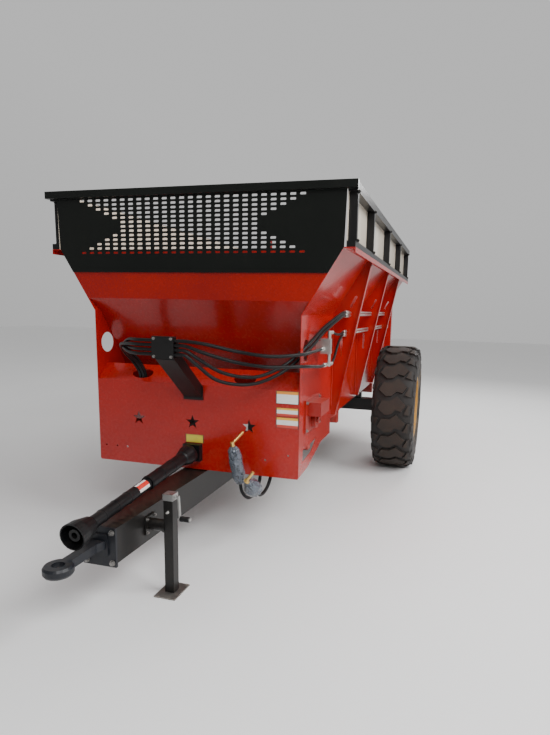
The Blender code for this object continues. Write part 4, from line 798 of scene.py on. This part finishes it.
class TyreSettings(bpy.types.PropertyGroup):
    pitches: bpy.props.IntProperty(name="Tread pitches", description="Blocks round the tyre", default=22)
    groove: metres("Groove", "Depth of the tread", 0.026)
    radius: metres("Radius", "Outer radius", 0.674)
    half_tread: metres("Half tread", "Half width of the tread", 0.198)


class FastenerSettings(bpy.types.PropertyGroup):
    across: metres("Across flats", "Of the common bolts", 0.024)
    height: metres("Head height", "Of the common bolts", 0.012)
    wheel_nuts: bpy.props.IntProperty(name="Wheel nuts", description="On each wheel", default=10)


# ---------------------------------------------------------------- stage

class SPREADER_OT_stage(bpy.types.Operator):
    """Pale floor, soft lights and the camera"""
    bl_idname = "spreader.stage"
    bl_label = "Stage and camera"

    def execute(self, context):
        s = context.scene.spreader_stage
        self.camera(context, s)
        self.floor(s)
        self.lights(context, s)
        return {"FINISHED"}

    def camera(self, context, s):
        yaw, pitch, roll = (math.radians(a) for a in CAMERA_TURN)
        ahead = Vector((-math.sin(yaw) * math.cos(pitch), math.cos(yaw) * math.cos(pitch), -math.sin(pitch)))
        right = Vector((math.cos(yaw), math.sin(yaw), 0.0))
        up = right.cross(ahead)
        x = right * math.cos(roll) + up * math.sin(roll)
        y = up * math.cos(roll) - right * math.sin(roll)
        turn = Matrix((x, y, -ahead)).transposed()
        data = bpy.data.cameras.new("camera")
        data.sensor_width = 36.0
        data.lens = s.lens
        data.shift_x, data.shift_y = CAMERA_SHIFT
        data.clip_end = 200.0
        camera = bpy.data.objects.new("camera", data)
        context.scene.collection.objects.link(camera)
        camera.matrix_world = Matrix.Translation(CAMERA_AT) @ turn.to_4x4()
        context.scene.camera = camera

    def floor(self, s):
        bm = bmesh.new()
        bmesh.ops.create_grid(bm, x_segments=1, y_segments=1, size=s.floor_size / 2)
        for v in bm.verts:
            v.co.z = -0.001
        as_object("floor", bm, finish_named("pale_floor"))

    def lights(self, context, s):
        world = bpy.data.worlds.new("studio")
        context.scene.world = world
        world.use_nodes = True
        tree = world.node_tree
        sky = tree.nodes["Background"]
        sky.inputs["Strength"].default_value = s.sky
        place = tree.nodes.new("ShaderNodeTexCoord")
        part = tree.nodes.new("ShaderNodeSeparateXYZ")
        ramp = tree.nodes.new("ShaderNodeValToRGB")
        ramp.color_ramp.elements[0].position, ramp.color_ramp.elements[0].color = 0.05, (0.30, 0.295, 0.29, 1)
        ramp.color_ramp.elements[1].position, ramp.color_ramp.elements[1].color = 0.95, (1.0, 1.0, 1.0, 1)
        half = tree.nodes.new("ShaderNodeMath")
        half.operation = "MULTIPLY_ADD"
        half.inputs[1].default_value, half.inputs[2].default_value = 0.5, 0.5
        tree.links.new(place.outputs["Generated"], part.inputs[0])
        blend = tree.nodes.new("ShaderNodeMath")
        blend.operation = "MULTIPLY_ADD"
        blend.inputs[1].default_value = 0.75
        tree.links.new(part.outputs[1], blend.inputs[0])
        tree.links.new(part.outputs[2], blend.inputs[2])
        tree.links.new(blend.outputs[0], half.inputs[0])
        tree.links.new(half.outputs[0], ramp.inputs[0])
        tree.links.new(ramp.outputs[0], sky.inputs["Color"])
        for name, spot, aim, size, power in (
                ("key", (6.5, -2.2, 6.0), (0.4, -0.3, 1.2), 5.0, s.key_power),
                ("fill", (3.6, -7.0, 5.4), (0.0, -1.5, 1.1), 3.0, s.fill_power),
                ("rear", (2.0, 6.5, 5.5), (0.0, 1.0, 1.5), 4.0, s.fill_power)):
            data = bpy.data.lights.new(name, "AREA")
            data.shape = "RECTANGLE"
            data.size, data.size_y, data.energy = size, size * 0.7, power
            light = bpy.data.objects.new(name, data)
            light.location = spot
            light.rotation_euler = (Vector(aim) - Vector(spot)).to_track_quat("-Z", "Y").to_euler()
            context.scene.collection.objects.link(light)


# ---------------------------------------------------------------- paint

class SPREADER_OT_paint(bpy.types.Operator):
    """Paint, plating and rubber on the structure's own pieces"""
    bl_idname = "spreader.paint"
    bl_label = "Paint the structure"

    def execute(self, context):
        for node, finish in NODE_FINISH.items():
            mesh = NODES[node].data
            if len(mesh.materials):
                for k in range(len(mesh.materials)):
                    mesh.materials[k] = finish_named(finish)
            else:
                mesh.materials.append(finish_named(finish))
        return {"FINISHED"}


# ---------------------------------------------------------------- hoses

BUNDLE = (
    ((-0.450, 0.060, 1.1003), (-1.0, 0.0, 0.0), (0.0, 1.0, 0.0)),
    ((-0.450, 0.060, 1.165), (-1.0, 0.0, 0.0), (0.0, 1.0, 0.0)),
    ((-0.454, 0.056, 1.225), (-1.0, 0.0, 0.0), (0.0, 1.0, 0.0)),
    ((-0.468, 0.005, 1.310), (-1.0, 0.0, -0.1), (0.0, 0.85, 0.55)),
    ((-0.462, -0.120, 1.395), (-0.95, -0.1, 0.35), (0.1, 0.6, 0.8)),
    ((-0.395, -0.255, 1.452), (-0.55, -0.30, 0.80), (0.5, 0.8, 0.35)),
)
COLUMN = ((0.042, 0.004), (0.014, -0.010), (-0.014, 0.010), (-0.042, -0.004))
CLAMP_Y = -0.395
TAILS = (
    ((0.270, -0.385, 1.492), (0.480, -0.315, 1.446), (0.680, -0.270, 1.422), (0.840, -0.150, 1.430),
     (0.872, 0.050, 1.436), (0.866, 0.250, 1.434), (0.864, 0.340, 1.434), (0.864, 0.400 - GAP, 1.434)),
    ((0.270, -0.392, 1.437), (0.480, -0.330, 1.378), (0.680, -0.285, 1.355), (0.860, -0.160, 1.355),
     (0.908, 0.040, 1.338), (0.900, 0.230, 1.322), (0.890, 0.320, 1.318), (0.890, 0.388 - GAP, 1.318)),
    ((0.230, -0.375, 1.392), (0.360, -0.290, 1.302), (0.540, -0.180, 1.270), (0.690, -0.040, 1.335),
     (0.784, 0.100, 1.432), (0.830, 0.220, 1.505), (0.868, 0.400, 1.590), (0.925, 0.600, 1.672),
     (0.946, 0.730, 1.704), (0.947, 0.800, 1.707), (0.947, 0.860 - GAP, 1.707)),
    ((0.220, -0.372, 1.350), (0.330, -0.300, 1.250), (0.520, -0.195, 1.222), (0.680, -0.055, 1.288),
     (0.784, 0.090, 1.392), (0.832, 0.215, 1.465), (0.870, 0.400, 1.558), (0.925, 0.600, 1.645),
     (0.946, 0.730, 1.680), (0.947, 0.800, 1.683), (0.947, 0.860 - GAP, 1.683)),
)
VALVE_ROUTES = {
    "valve_hose_top": ((0.908, 0.488 + GAP, 1.556), (0.908, 0.540, 1.556), (0.908, 0.640, 1.540), (0.916, 0.780, 1.532),
                       (0.918, 0.870, 1.543), (0.918, 0.910, 1.546), (0.918, 0.950 - GAP, 1.546)),
    "valve_hose_low": ((0.908, 0.488 + GAP, 1.318), (0.908, 0.540, 1.320), (0.908, 0.640, 1.370), (0.912, 0.740, 1.460),
                       (0.917, 0.830, 1.511), (0.918, 0.900, 1.522), (0.918, 0.950 - GAP, 1.522)),
}
TRACTOR_ROUTES = (
    ((0.500, 0.080, 1.030 - GAP), (0.500, 0.080, 0.940), (0.500, 0.080, 0.760), (0.500, 0.080, 0.590),
     (0.497, 0.058, 0.470), (0.488, -0.010, 0.400), (0.466, -0.090, 0.388), (0.440, -0.135, 0.440),
     (0.428, -0.146, 0.510)),
    ((0.585, 0.080, 1.030 - GAP), (0.585, 0.080, 0.940), (0.585, 0.080, 0.760), (0.585, 0.080, 0.600),
     (0.580, 0.055, 0.495), (0.570, -0.010, 0.432), (0.558, -0.090, 0.420), (0.550, -0.140, 0.460)),
)


def bundle_routes():
    """Route points of the four hoses from the opening in the lid to the valve and the upper pipes."""
    clamp_y = CLAMP_Y - GAP - HOSE_D / 2
    routes = []
    for i, (pair, z) in enumerate(zip(((1, 1), (1, -1), (-1, 1), (-1, -1)), (1.505, 1.475, 1.445, 1.415))):
        route = []
        for centre, first, second in BUNDLE:
            out = Vector(first).normalized() * 0.0135 * pair[0] + Vector(second).normalized() * 0.0135 * pair[1]
            route.append(tuple(Vector(centre) + out))
        rise, back = COLUMN[i]
        route.append((-0.290, -0.350 + back, 1.460 + rise))
        route += [(x, clamp_y, z) for x in (-0.190, -0.140, -0.090, 0.000, 0.090, 0.150)]
        routes.append(route + list(TAILS[i]))
    return routes


def even_line(route, spacing):
    return [place(*p) for p in smooth_route(route, spacing)]


def ferrule(name, at, way, diameter, body="chassis"):
    """Crimped sleeve and swivel nut at a hose end; way points from the hose to its fitting."""
    r = diameter / 2
    bm = bmesh.new()
    add_turned(bm, [(r * 1.02, -0.046), (r * 1.30, -0.044), (r * 1.34, -0.036), (r * 1.24, -0.033), (r * 1.34, -0.030),
                    (r * 1.24, -0.026), (r * 1.34, -0.022), (r * 1.30, -0.016), (r * 0.98, -0.014),
                    (r * 0.98, -0.0005), (r * 0.5, -0.0005), (r * 0.5, -0.046)], at, way, 20, closed=True)
    add_turned(bm, [(r * 1.02, -0.013), (r * 1.42, -0.012), (r * 1.50, -0.010), (r * 1.50, -0.003),
                    (r * 1.42, -0.001), (r * 1.02, -0.001)], at, way, 6, closed=True)
    return trim(name, face_out(bm), "zinc_plate", body, 35)


class SPREADER_OT_hoses(bpy.types.Operator):
    """Free hoses along their real routes, with crimped ends"""
    bl_idname = "spreader.hoses"
    bl_label = "Hoses"

    def execute(self, context):
        rubber = finish_named("rubber_hose")
        for k, route in enumerate(bundle_routes()):
            self.hose(f"hose_{k + 1}", even_line(route, 0.018), HOSE_D, rubber, "object")
        for name, route in VALVE_ROUTES.items():
            self.hose(name, even_line(route, 0.015), 0.020, rubber, "object")
        for k, route in enumerate(TRACTOR_ROUTES):
            line = even_line(route, 0.018)
            way = (line[-1] - line[-2]).normalized()
            # the hose runs on inside its sleeve and stops 6 mm short of the sleeve's end
            inside = SLEEVES[k][1][-1][1] - 0.006
            line += [line[-1] + way * (inside * i / 12) for i in range(1, 13)]
            sleeve = f"film_sleeve_{k + 1}"
            self.hose(f"tractor_hose_{k + 1}", line, HOSE_D, rubber, "connector", (sleeve, f"coupler_{k + 1}"))
        return {"FINISHED"}

    def hose(self, node, line, diameter, rubber, far_end, pieces=()):
        made = hose_mesh(node + "_cover", line, diameter, rubber)
        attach(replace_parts(made, node), "chassis")
        route_length(line)
        if node.startswith("hose_") or node.startswith("valve"):
            ferrule(node + "_end", line[-1], line[-1] - line[-2], diameter)
            if node.startswith("valve"):
                ferrule(node + "_start", line[0], line[0] - line[1], diameter)


# ---------------------------------------------------------------- film sleeves

SLEEVES = (
    (TRACTOR_ROUTES[0], ((0.0, 0.0), (0.026, 0.0), (0.046, 0.060), (0.048, 0.180), (0.040, 0.250), (0.020, 0.275)), 3),
    (TRACTOR_ROUTES[1], ((0.0, 0.0), (0.028, 0.0), (0.056, 0.035), (0.060, 0.080), (0.036, 0.140), (0.018, 0.165)), 8),
)


class SPREADER_OT_film(bpy.types.Operator):
    """Packing film wrapped round the hose couplings"""
    bl_idname = "spreader.film"
    bl_label = "Film sleeves"

    def execute(self, context):
        for k, (route, outline, seed) in enumerate(SLEEVES):
            line = smooth_route(route, 2.5 * HOSE_D)
            way = (line[-1] - line[-2]).normalized()
            foot = place(*(line[-1] + way * GAP))
            self.sleeve(f"film_sleeve_{k + 1}", f"hose_sleeve_{k + 1}", foot, way, outline, seed)
        return {"FINISHED"}

    def sleeve(self, name, node, foot, way, outline, seed):
        """A loose wrap: lengthwise folds that gather at both tied ends, and cross wrinkles."""
        length = outline[-1][1]
        rings, sides = 56, 72
        turn = frame_on(way)
        bm = bmesh.new()
        rows = []
        for i in range(rings + 1):
            t = i / rings
            at = t * length
            r = self.radius(outline, at)
            row = []
            for k in range(sides):
                a = math.tau * k / sides
                about = Vector((math.cos(a), math.sin(a), 0.0))
                p = about * 1.6 + Vector((0, 0, at * 11 + seed))
                fold = noise.noise(p * 1.3) * 0.55 + noise.noise(p * 3.1) * 0.30
                pleat = math.sin(a * 11 + noise.noise(p) * 4) * (0.12 + 0.55 * abs(2 * t - 1) ** 3)
                wrap = math.sin(at * 62 + a * 1.0 + fold * 3.0) * 0.22
                give = (fold * 0.32 + pleat * 0.30 + wrap * 0.40) - 0.04
                row.append(bm.verts.new(foot + turn @ (about * r * (1 + give * 0.42) + Vector((0, 0, at)))))
            rows.append(row)
        skin(bm, rows)
        made = as_object(name, face_out(bm), finish_named("bubble_film"), 75)
        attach(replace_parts(made, node), "chassis")

    def radius(self, outline, at):
        for (r0, z0), (r1, z1) in zip(outline[1:], outline[2:]):
            if z0 <= at <= z1:
                return r0 + (r1 - r0) * (at - z0) / (z1 - z0)
        return outline[-1][0]


# ---------------------------------------------------------------- front board

class SPREADER_OT_front_board(bpy.types.Operator):
    """Front board with its field of slots"""
    bl_idname = "spreader.front_board"
    bl_label = "Perforated front board"

    def execute(self, context):
        s = context.scene.spreader_board
        width, height = s.pitch_x * (s.columns - 1) + 0.120, s.pitch_z * (s.rows - 1) + 0.034
        plate = seats_object("board_field", [(Vector((0, 0, 0)), (0, 0, 1))])
        tree_named("perforation").run(plate, finish_named("black_board"), Width=width, Height=height,
                                      Columns=s.columns, Rows=s.rows, Pitch_X=s.pitch_x, Pitch_Z=s.pitch_z,
                                      Slot=s.slot_length, Slot_height=s.slot_height)
        stand = Matrix.Translation((s.middle_x, -GAP + SHIFT, s.middle_z)) @ Matrix.Rotation(math.pi / 2, 4, "X")
        plate.data.transform(stand)
        bm = clean_copy("front_board")
        board = as_object("front_board_plate", bm, finish_named("black_board"))
        box = bmesh.new()
        add_box(box, (s.middle_x - width / 2, SHIFT - 0.030, s.middle_z - height / 2),
                (s.middle_x + width / 2, SHIFT + 0.010, s.middle_z + height / 2))
        cutter = as_object("window", box, finish_named("black_board"))
        cut = board.modifiers.new("Window", "BOOLEAN")
        cut.operation, cut.solver, cut.object = "DIFFERENCE", "EXACT", cutter
        graph = context.evaluated_depsgraph_get()
        mesh = bpy.data.meshes.new_from_object(board.evaluated_get(graph), depsgraph=graph)
        bpy.data.objects.remove(board)
        bpy.data.objects.remove(cutter)
        whole = bmesh.new()
        whole.from_mesh(mesh)
        whole.from_mesh(plate.data)
        bpy.data.objects.remove(plate)
        bpy.data.meshes.remove(mesh)
        made = as_object("front_board_slotted", whole, finish_named("black_board"))
        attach(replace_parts(made, "front_board"), "chassis")
        return {"FINISHED"}


# ---------------------------------------------------------------- tyres

CENTRE_BLOCK = ((-0.140, 0.020), (-0.068, 0.085), (-0.008, 0.078), (0.040, 0.030), (0.098, 0.046), (0.142, -0.022),
                (0.048, -0.112), (-0.020, -0.060), (-0.100, -0.062))
OUTER_BLOCK = ((0.122, 0.068), (0.198, 0.086), (0.198, -0.024), (0.165, -0.024))
INNER_BLOCK = ((-0.172, 0.022), (-0.132, -0.066), (-0.198, -0.086), (-0.198, 0.026))


class SPREADER_OT_tyres(bpy.types.Operator):
    """Tyres with their tread blocks, shoulder lugs and side wall rings"""
    bl_idname = "spreader.tyres"
    bl_label = "Tyres"

    def execute(self, context):
        s = context.scene.spreader_tyre
        for side, tag in ((1, "left"), (-1, "right")):
            blocks = self.pitch(s, side)
            tree_named("tread").run(blocks, finish_named("tyre_rubber"), Pitches=s.pitches)
            hub = Vector((side * TRACK_HALF, AXLE.y, AXLE.z))
            blocks.data.transform(Matrix.Translation(hub))
            bm = bmesh.new()
            bm.from_mesh(blocks.data)
            bpy.data.objects.remove(blocks)
            add_turned(bm, self.carcass(s), hub, (side, 0, 0), 120, closed=True)
            made = as_object(f"treaded_tyre_{tag}", face_out(bm), finish_named("tyre_rubber"), 32)
            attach(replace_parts(made, f"tyre_{tag}"), f"wheel_{tag[0]}")
        return {"FINISHED"}

    def carcass(self, s):
        """Closed outline (radius, distance along the axle) of the tyre below its tread."""
        base = s.radius - s.groove
        seat = 0.3178
        wall = [(seat, 0.178), (0.347, 0.190), (0.352, 0.196), (0.362, 0.197), (0.366, 0.193), (0.400, 0.2055),
                (0.440, 0.2145), (0.446, 0.2185), (0.452, 0.2185), (0.456, 0.2160), (0.500, 0.2225), (0.540, 0.2195),
                (0.572, 0.2125), (0.576, 0.2155), (0.590, 0.2125), (0.594, 0.2080), (0.612, 0.2030), (0.634, 0.1930),
                (base, 0.170)]
        line = wall + [(base + 0.002, 0.08), (base + 0.003, 0.0), (base + 0.002, -0.08)]
        return line + [(r, -t) for r, t in reversed(wall)]

    def pitch(self, s, side):
        """One pitch of blocks, on the axle's line, ready to be turned about X."""
        bm = bmesh.new()
        for outline in (CENTRE_BLOCK, OUTER_BLOCK, INNER_BLOCK):
            self.block(bm, s, [(u * side, v * side) for u, v in outline] if side > 0 else
                       [(u, v) for u, v in outline])
        for edge in (-1, 1):
            self.lug(bm, s, edge, 0.036 if edge > 0 else -0.034)
        mesh = bpy.data.meshes.new("tread_pitch")
        bm.to_mesh(mesh)
        bm.free()
        obj = bpy.data.objects.new("tread_pitch", mesh)
        bpy.context.scene.collection.objects.link(obj)
        return obj

    def crown(self, s, u, v, h):
        """A point of the unrolled tread brought round the tyre; h is 0 in the groove and 1 on the block's face."""
        fall = max(0.0, (abs(u) - 0.150) / (s.half_tread - 0.150))
        top = s.radius - 0.030 * fall ** 1.5 - 0.003 * (u / s.half_tread) ** 2
        r = (s.radius - s.groove - 0.004) * (1 - h) + top * h
        angle = v / s.radius
        return Vector((u, -r * math.sin(angle), r * math.cos(angle)))

    def block(self, bm, s, outline):
        """One block with leaning sides and a broken edge, cut into strips that follow the curve."""
        own = bmesh.new()
        cu = sum(u for u, _ in outline) / len(outline)
        cv = sum(v for _, v in outline) / len(outline)
        face = own.faces.new([own.verts.new((u, v, 0)) for u, v in outline])
        face.normal_update()
        if face.normal.z < 0:
            face.normal_flip()
        for cut, normal in [((0, y, 0), (0, 1, 0)) for y in (-0.09, -0.06, -0.03, 0.0, 0.03, 0.06)] + [
                ((x, 0, 0), (1, 0, 0)) for x in (-0.165, -0.1, 0.0, 0.1, 0.165)]:
            bmesh.ops.bisect_plane(own, geom=own.verts[:] + own.edges[:] + own.faces[:], plane_co=cut,
                                   plane_no=normal, dist=1e-5)
        top = bmesh.ops.inset_region(own, faces=own.faces[:], thickness=0.004, depth=0.0)
        rim = {f for f in top["faces"]}
        inner = [f for f in own.faces if f not in rim]
        up = {v for f in inner for v in f.verts}
        base = [e for e in own.edges if e.is_boundary]
        low = bmesh.ops.extrude_edge_only(own, edges=base)["geom"]
        foot = {g for g in low if isinstance(g, bmesh.types.BMVert)}
        for v in own.verts:
            u, w = v.co.x, v.co.y
            if v in foot:
                u, w = cu + (u - cu) * 1.03, cv + (w - cv) * 1.03
                u = max(-s.half_tread - 0.001, min(s.half_tread + 0.001, u))
                v.co = self.crown(s, u, w, 0.0)
            else:
                v.co = self.crown(s, u, w, 1.0 if v in up else 0.90)
        bmesh.ops.holes_fill(own, edges=[e for e in own.edges if e.is_boundary], sides=0)
        bmesh.ops.recalc_face_normals(own, faces=own.faces[:])
        mesh = bpy.data.meshes.new("block")
        own.to_mesh(mesh)
        own.free()
        bm.from_mesh(mesh)
        bpy.data.meshes.remove(mesh)

    def lug(self, bm, s, edge, v):
        """Rib on the shoulder that runs from a block down the side wall."""
        half = 0.030
        line = [(0.648, 0.200), (0.630, 0.2045), (0.606, 0.2105), (0.582, 0.2165)]
        rows = []
        def at(r, x, v):
            return bm.verts.new(Vector((edge * x, -r * math.sin(v / s.radius), r * math.cos(v / s.radius))))

        for r, x in line:
            out = 0.0015 if r < 0.59 else 0.0060
            rows.append([at(r, x - 0.018, v - half), at(r, x - 0.018, v + half),
                         at(r, x + out, v + half * 0.86), at(r, x + out, v - half * 0.86)])
        skin(bm, rows)


# ---------------------------------------------------------------- labels, fastenings, welds

def plate_with_map(bm, centre, across, up, width, height, thick=0.0006):
    """Thin blank label with a 0 to 1 map on its face; across and up are unit vectors."""
    uv = bm.loops.layers.uv.verify()
    centre, across, up = Vector(centre), Vector(across), Vector(up)
    out = across.cross(up)
    front, back = [], []
    for a, b in ((-1, -1), (1, -1), (1, 1), (-1, 1)):
        p = centre + across * (a * width / 2) + up * (b * height / 2)
        front.append(bm.verts.new(p + out * thick))
        back.append(bm.verts.new(p - out * 0.0001))
    face = bm.faces.new(front)
    for loop, at in zip(face.loops, ((0, 0), (1, 0), (1, 1), (0, 1))):
        loop[uv].uv = at
    bm.faces.new(back[::-1])
    for k in range(4):
        j = (k + 1) % 4
        side = bm.faces.new((front[j], front[k], back[k], back[j]))
        for loop in side.loops:
            loop[uv].uv = (0.01, 0.5)


class SPREADER_OT_labels(bpy.types.Operator):
    """Blank stickers"""
    bl_idname = "spreader.labels"
    bl_label = "Blank labels"

    def execute(self, context):
        right, up = (1, 0, 0), (0, 0, 1)
        face = -0.0002
        for name, spots, finish in (
                ("label_top", (((0.719, face, 1.115), 0.168, 0.092),), "label_white"),
                ("label_stack", (((0.720, face, 1.012), 0.166, 0.060),
                                 ((0.721, face, 0.935), 0.168, 0.078)), "label_stack"),
                ("label_input", (((0.005, face, 0.762), 0.145, 0.062),), "label_yellow")):
            bm = bmesh.new()
            for (x, y, z), w, h in spots:
                plate_with_map(bm, place(x, y, z), right, up, w, h)
            trim(name, bm, finish, "chassis")
        bm = bmesh.new()
        x = FRAME_X - GAP
        plate_with_map(bm, place(x, 1.10, 2.330), (0, 1, 0), up, 0.30, 0.22)
        trim("label_panel", bm, "label_panel", "chassis")
        self.shaft_band()
        return {"FINISHED"}

    def shaft_band(self):
        """Blank sticker bent round the shaft guard."""
        bm = bmesh.new()
        uv = bm.loops.layers.uv.verify()
        turn = frame_on(PTO_WAY)
        rows = []
        steps = 14
        for j, at in enumerate(STICKER_AT):
            row = []
            for i in range(steps + 1):
                a = math.radians(STICKER_FROM + STICKER_SWEEP * i / steps)
                for r in STICKER_R:
                    spot = PTO + turn @ Vector((r * math.cos(a), r * math.sin(a), at))
                    row.append((bm.verts.new(spot), i / steps, j))
            rows.append(row)
        for layer in (0, 1):
            for i in range(steps):
                near, far = 2 * i + layer, 2 * i + 2 + layer
                corners = [rows[0][near], rows[0][far], rows[1][far], rows[1][near]]
                face = bm.faces.new([c[0] for c in corners])
                for loop, c in zip(face.loops, corners):
                    loop[uv].uv = (c[2], c[1])
        for row in rows:
            for i in range(steps):
                bm.faces.new([row[2 * i][0], row[2 * i + 1][0], row[2 * i + 3][0], row[2 * i + 2][0]])
        for i in (0, steps):
            bm.faces.new([rows[0][2 * i][0], rows[0][2 * i + 1][0], rows[1][2 * i + 1][0], rows[1][2 * i][0]])
        trim("label_shaft", face_out(bm), "label_red", "pto_front")


class SPREADER_OT_fasteners(bpy.types.Operator):
    """Bolts, wheel nuts and plate fixings"""
    bl_idname = "spreader.fasteners"
    bl_label = "Fasteners"

    def execute(self, context):
        s = context.scene.spreader_fastener
        for tag, side in (("left", 1), ("right", -1)):
            face = side * (FRAME_X + POST_DEPTH - 0.003)
            seats = [(place(face, y, z), (side, 0, 0)) for y in POST_Y for z in (2.175, 2.480)]
            bolts(f"post_bolts_{tag}", "chassis", seats, s.across * 0.8, s.height * 0.8, 0.014,
                  "black_fastener")
            nuts = []
            for k in range(s.wheel_nuts):
                a = math.tau * k / s.wheel_nuts
                nuts.append((Vector((side * (TRACK_HALF + NUT_SEAT), AXLE.y + NUT_CIRCLE * math.sin(a),
                                     AXLE.z + NUT_CIRCLE * math.cos(a))), (side, 0, 0)))
            bolts(f"wheel_nuts_{tag}", f"wheel_{tag[0]}", nuts, 0.030, 0.018, 0.020)
            plate = [(place(side * BEARING_X, y, z), (side, 0, 0)) for y in (0.148, 0.512) for z in (0.855, 1.060)]
            bolts(f"bearing_bolts_{tag}", "chassis", plate, s.across * 0.8, s.height * 0.8, 0.014)
        eye = [(place(x, -1.137, z), (0, -1, 0)) for x in (-0.082, 0.082) for z in (0.325, 0.500)]
        bolts("eye_plate_bolts", "chassis", eye, s.across, s.height, 0.017)
        clamp = [(place(x, -0.426, z), (0, -1, 0)) for x in (-0.062, 0.062) for z in (1.402, 1.518)]
        bolts("clamp_bolts", "chassis", clamp, 0.015, 0.008, 0.010)
        mount = [(place(0.107, y, z), (1, 0, 0)) for y in (-0.829, -0.743) for z in (0.378, 0.462)]
        bolts("jack_mount_bolts", "chassis", mount, 0.015, 0.008, 0.010)
        return {"FINISHED"}


def bead(name, route, radius, body, material, seed=1):
    """Weld bead along a straight seam, with its even ripple."""
    line = smooth_route(route, 0.006)
    bm = bmesh.new()
    rings = []
    for p, side, up, at in frames_along(line):
        r = radius * (0.90 + 0.13 * math.sin(at * 900) + 0.06 * noise.noise(p * 40 + Vector((seed, 0, 0))))
        rings.append([bm.verts.new(p + (side * math.cos(math.tau * k / 8) + up * math.sin(math.tau * k / 8)) * r)
                      for k in range(8)])
    skin(bm, rings)
    return trim(name, face_out(bm), material, body, 60)


class SPREADER_OT_welds(bpy.types.Operator):
    """Weld beads where plates meet the drawbar and the side walls"""
    bl_idname = "spreader.welds"
    bl_label = "Weld beads"

    def execute(self, context):
        front = -1.1215
        bead("weld_eye_top", [place(-0.090, front, 0.521), place(0.0, front, 0.521), place(0.090, front, 0.521)],
             0.0045, "chassis", "black_weld", 1)
        for tag, side in (("left", 1), ("right", -1)):
            bead(f"weld_eye_{tag}", [place(side * 0.098, front, 0.330), place(side * 0.098, front, 0.420),
                                     place(side * 0.098, front, 0.510)], 0.0045, "chassis", "black_weld",
                 2)
            for k, y in enumerate(RIB_Y):
                seam = [place(side * (HALF + 0.006), y - 0.026, z) for z in WELD_Z]
                bead(f"weld_rib_{tag}_{k + 1}", seam, 0.0035, "chassis", "weld", 3 + k)
        return {"FINISHED"}


class SPREADER_OT_shaft_guard(bpy.types.Operator):
    """Stiffening rings on both sections of the shaft guard"""
    bl_idname = "spreader.shaft_guard"
    bl_label = "Shaft guard"

    def execute(self, context):
        for name, body, spots, r in (("guard_rings_rear", "pto_rear", (0.120, 0.260, 0.400, 0.545), 0.0452),
                                     ("guard_rings_front", "pto_front", (0.780, 0.900, 1.020, 1.110), 0.0367)):
            bm = bmesh.new()
            for at in spots:
                add_turned(bm, [(r - 0.001, -0.005), (r + 0.0016, -0.0035), (r + 0.0022, 0.0), (r + 0.0016, 0.0035),
                                (r - 0.001, 0.005)], PTO + PTO_WAY * at, PTO_WAY, 32, closed=True)
            trim(name, face_out(bm), "moulded_guard", body, 40)
        return {"FINISHED"}


class SPREADER_OT_jack(bpy.types.Operator):
    """Pin on the jack's swivel, and the grip of the crank"""
    bl_idname = "spreader.jack"
    bl_label = "Jack trim"

    def execute(self, context):
        pin = place(0.243, -0.8165, 0.520)
        bm = bmesh.new()
        add_turned(bm, [(0.0, -0.0005), (0.0085, 0.0), (0.0085, 0.004), (0.0060, 0.006), (0.0060, 0.018),
                        (0.0050, 0.0195), (0.0, 0.020)], pin, (0, -1, 0), 16)
        trim("jack_pin", face_out(bm), "zinc_plate", "jack_head", 35)
        bm = bmesh.new()
        add_turned(bm, [(0.0142, 0.0), (0.0162, 0.002), (0.0168, 0.012), (0.0156, 0.030), (0.0168, 0.048),
                        (0.0162, 0.058), (0.0142, 0.060)], place(0.307, -0.786, 0.476), (1, 0, 0), 24, closed=True)
        trim("crank_grip", face_out(bm), "grip_plastic", "jack_head", 45)
        return {"FINISHED"}


# ---------------------------------------------------------------- panel and registration

OPERATORS = (SPREADER_OT_paint, SPREADER_OT_front_board, SPREADER_OT_tyres, SPREADER_OT_film, SPREADER_OT_hoses,
             SPREADER_OT_shaft_guard, SPREADER_OT_jack, SPREADER_OT_fasteners, SPREADER_OT_welds,
             SPREADER_OT_labels, SPREADER_OT_stage)


class SPREADER_PT_panel(bpy.types.Panel):
    """Every step of the spreader's looks, in order"""
    bl_idname = "SPREADER_PT_panel"
    bl_label = "Manure spreader"
    bl_space_type = "VIEW_3D"
    bl_region_type = "UI"
    bl_category = "Spreader"

    def draw(self, context):
        for operator in OPERATORS:
            self.layout.operator(operator.bl_idname)
        for group in GROUPS:
            box = self.layout.box()
            settings = getattr(context.scene, GROUPS[group])
            for key in group.__annotations__:
                box.prop(settings, key)


GROUPS = {StageSettings: "spreader_stage", BoardSettings: "spreader_board", TyreSettings: "spreader_tyre",
          FastenerSettings: "spreader_fastener"}
CLASSES = tuple(GROUPS) + OPERATORS + (SPREADER_PT_panel,)


def register():
    for cls in CLASSES:
        bpy.utils.register_class(cls)
    for group, name in GROUPS.items():
        setattr(bpy.types.Scene, name, bpy.props.PointerProperty(type=group))


def unregister():
    for name in GROUPS.values():
        delattr(bpy.types.Scene, name)
    for cls in reversed(CLASSES):
        bpy.utils.unregister_class(cls)


def main():
    register()
    for operator in OPERATORS:
        group, name = operator.bl_idname.split(".")
        getattr(getattr(bpy.ops, group), name)()


if __name__ == "__main__":
    main()
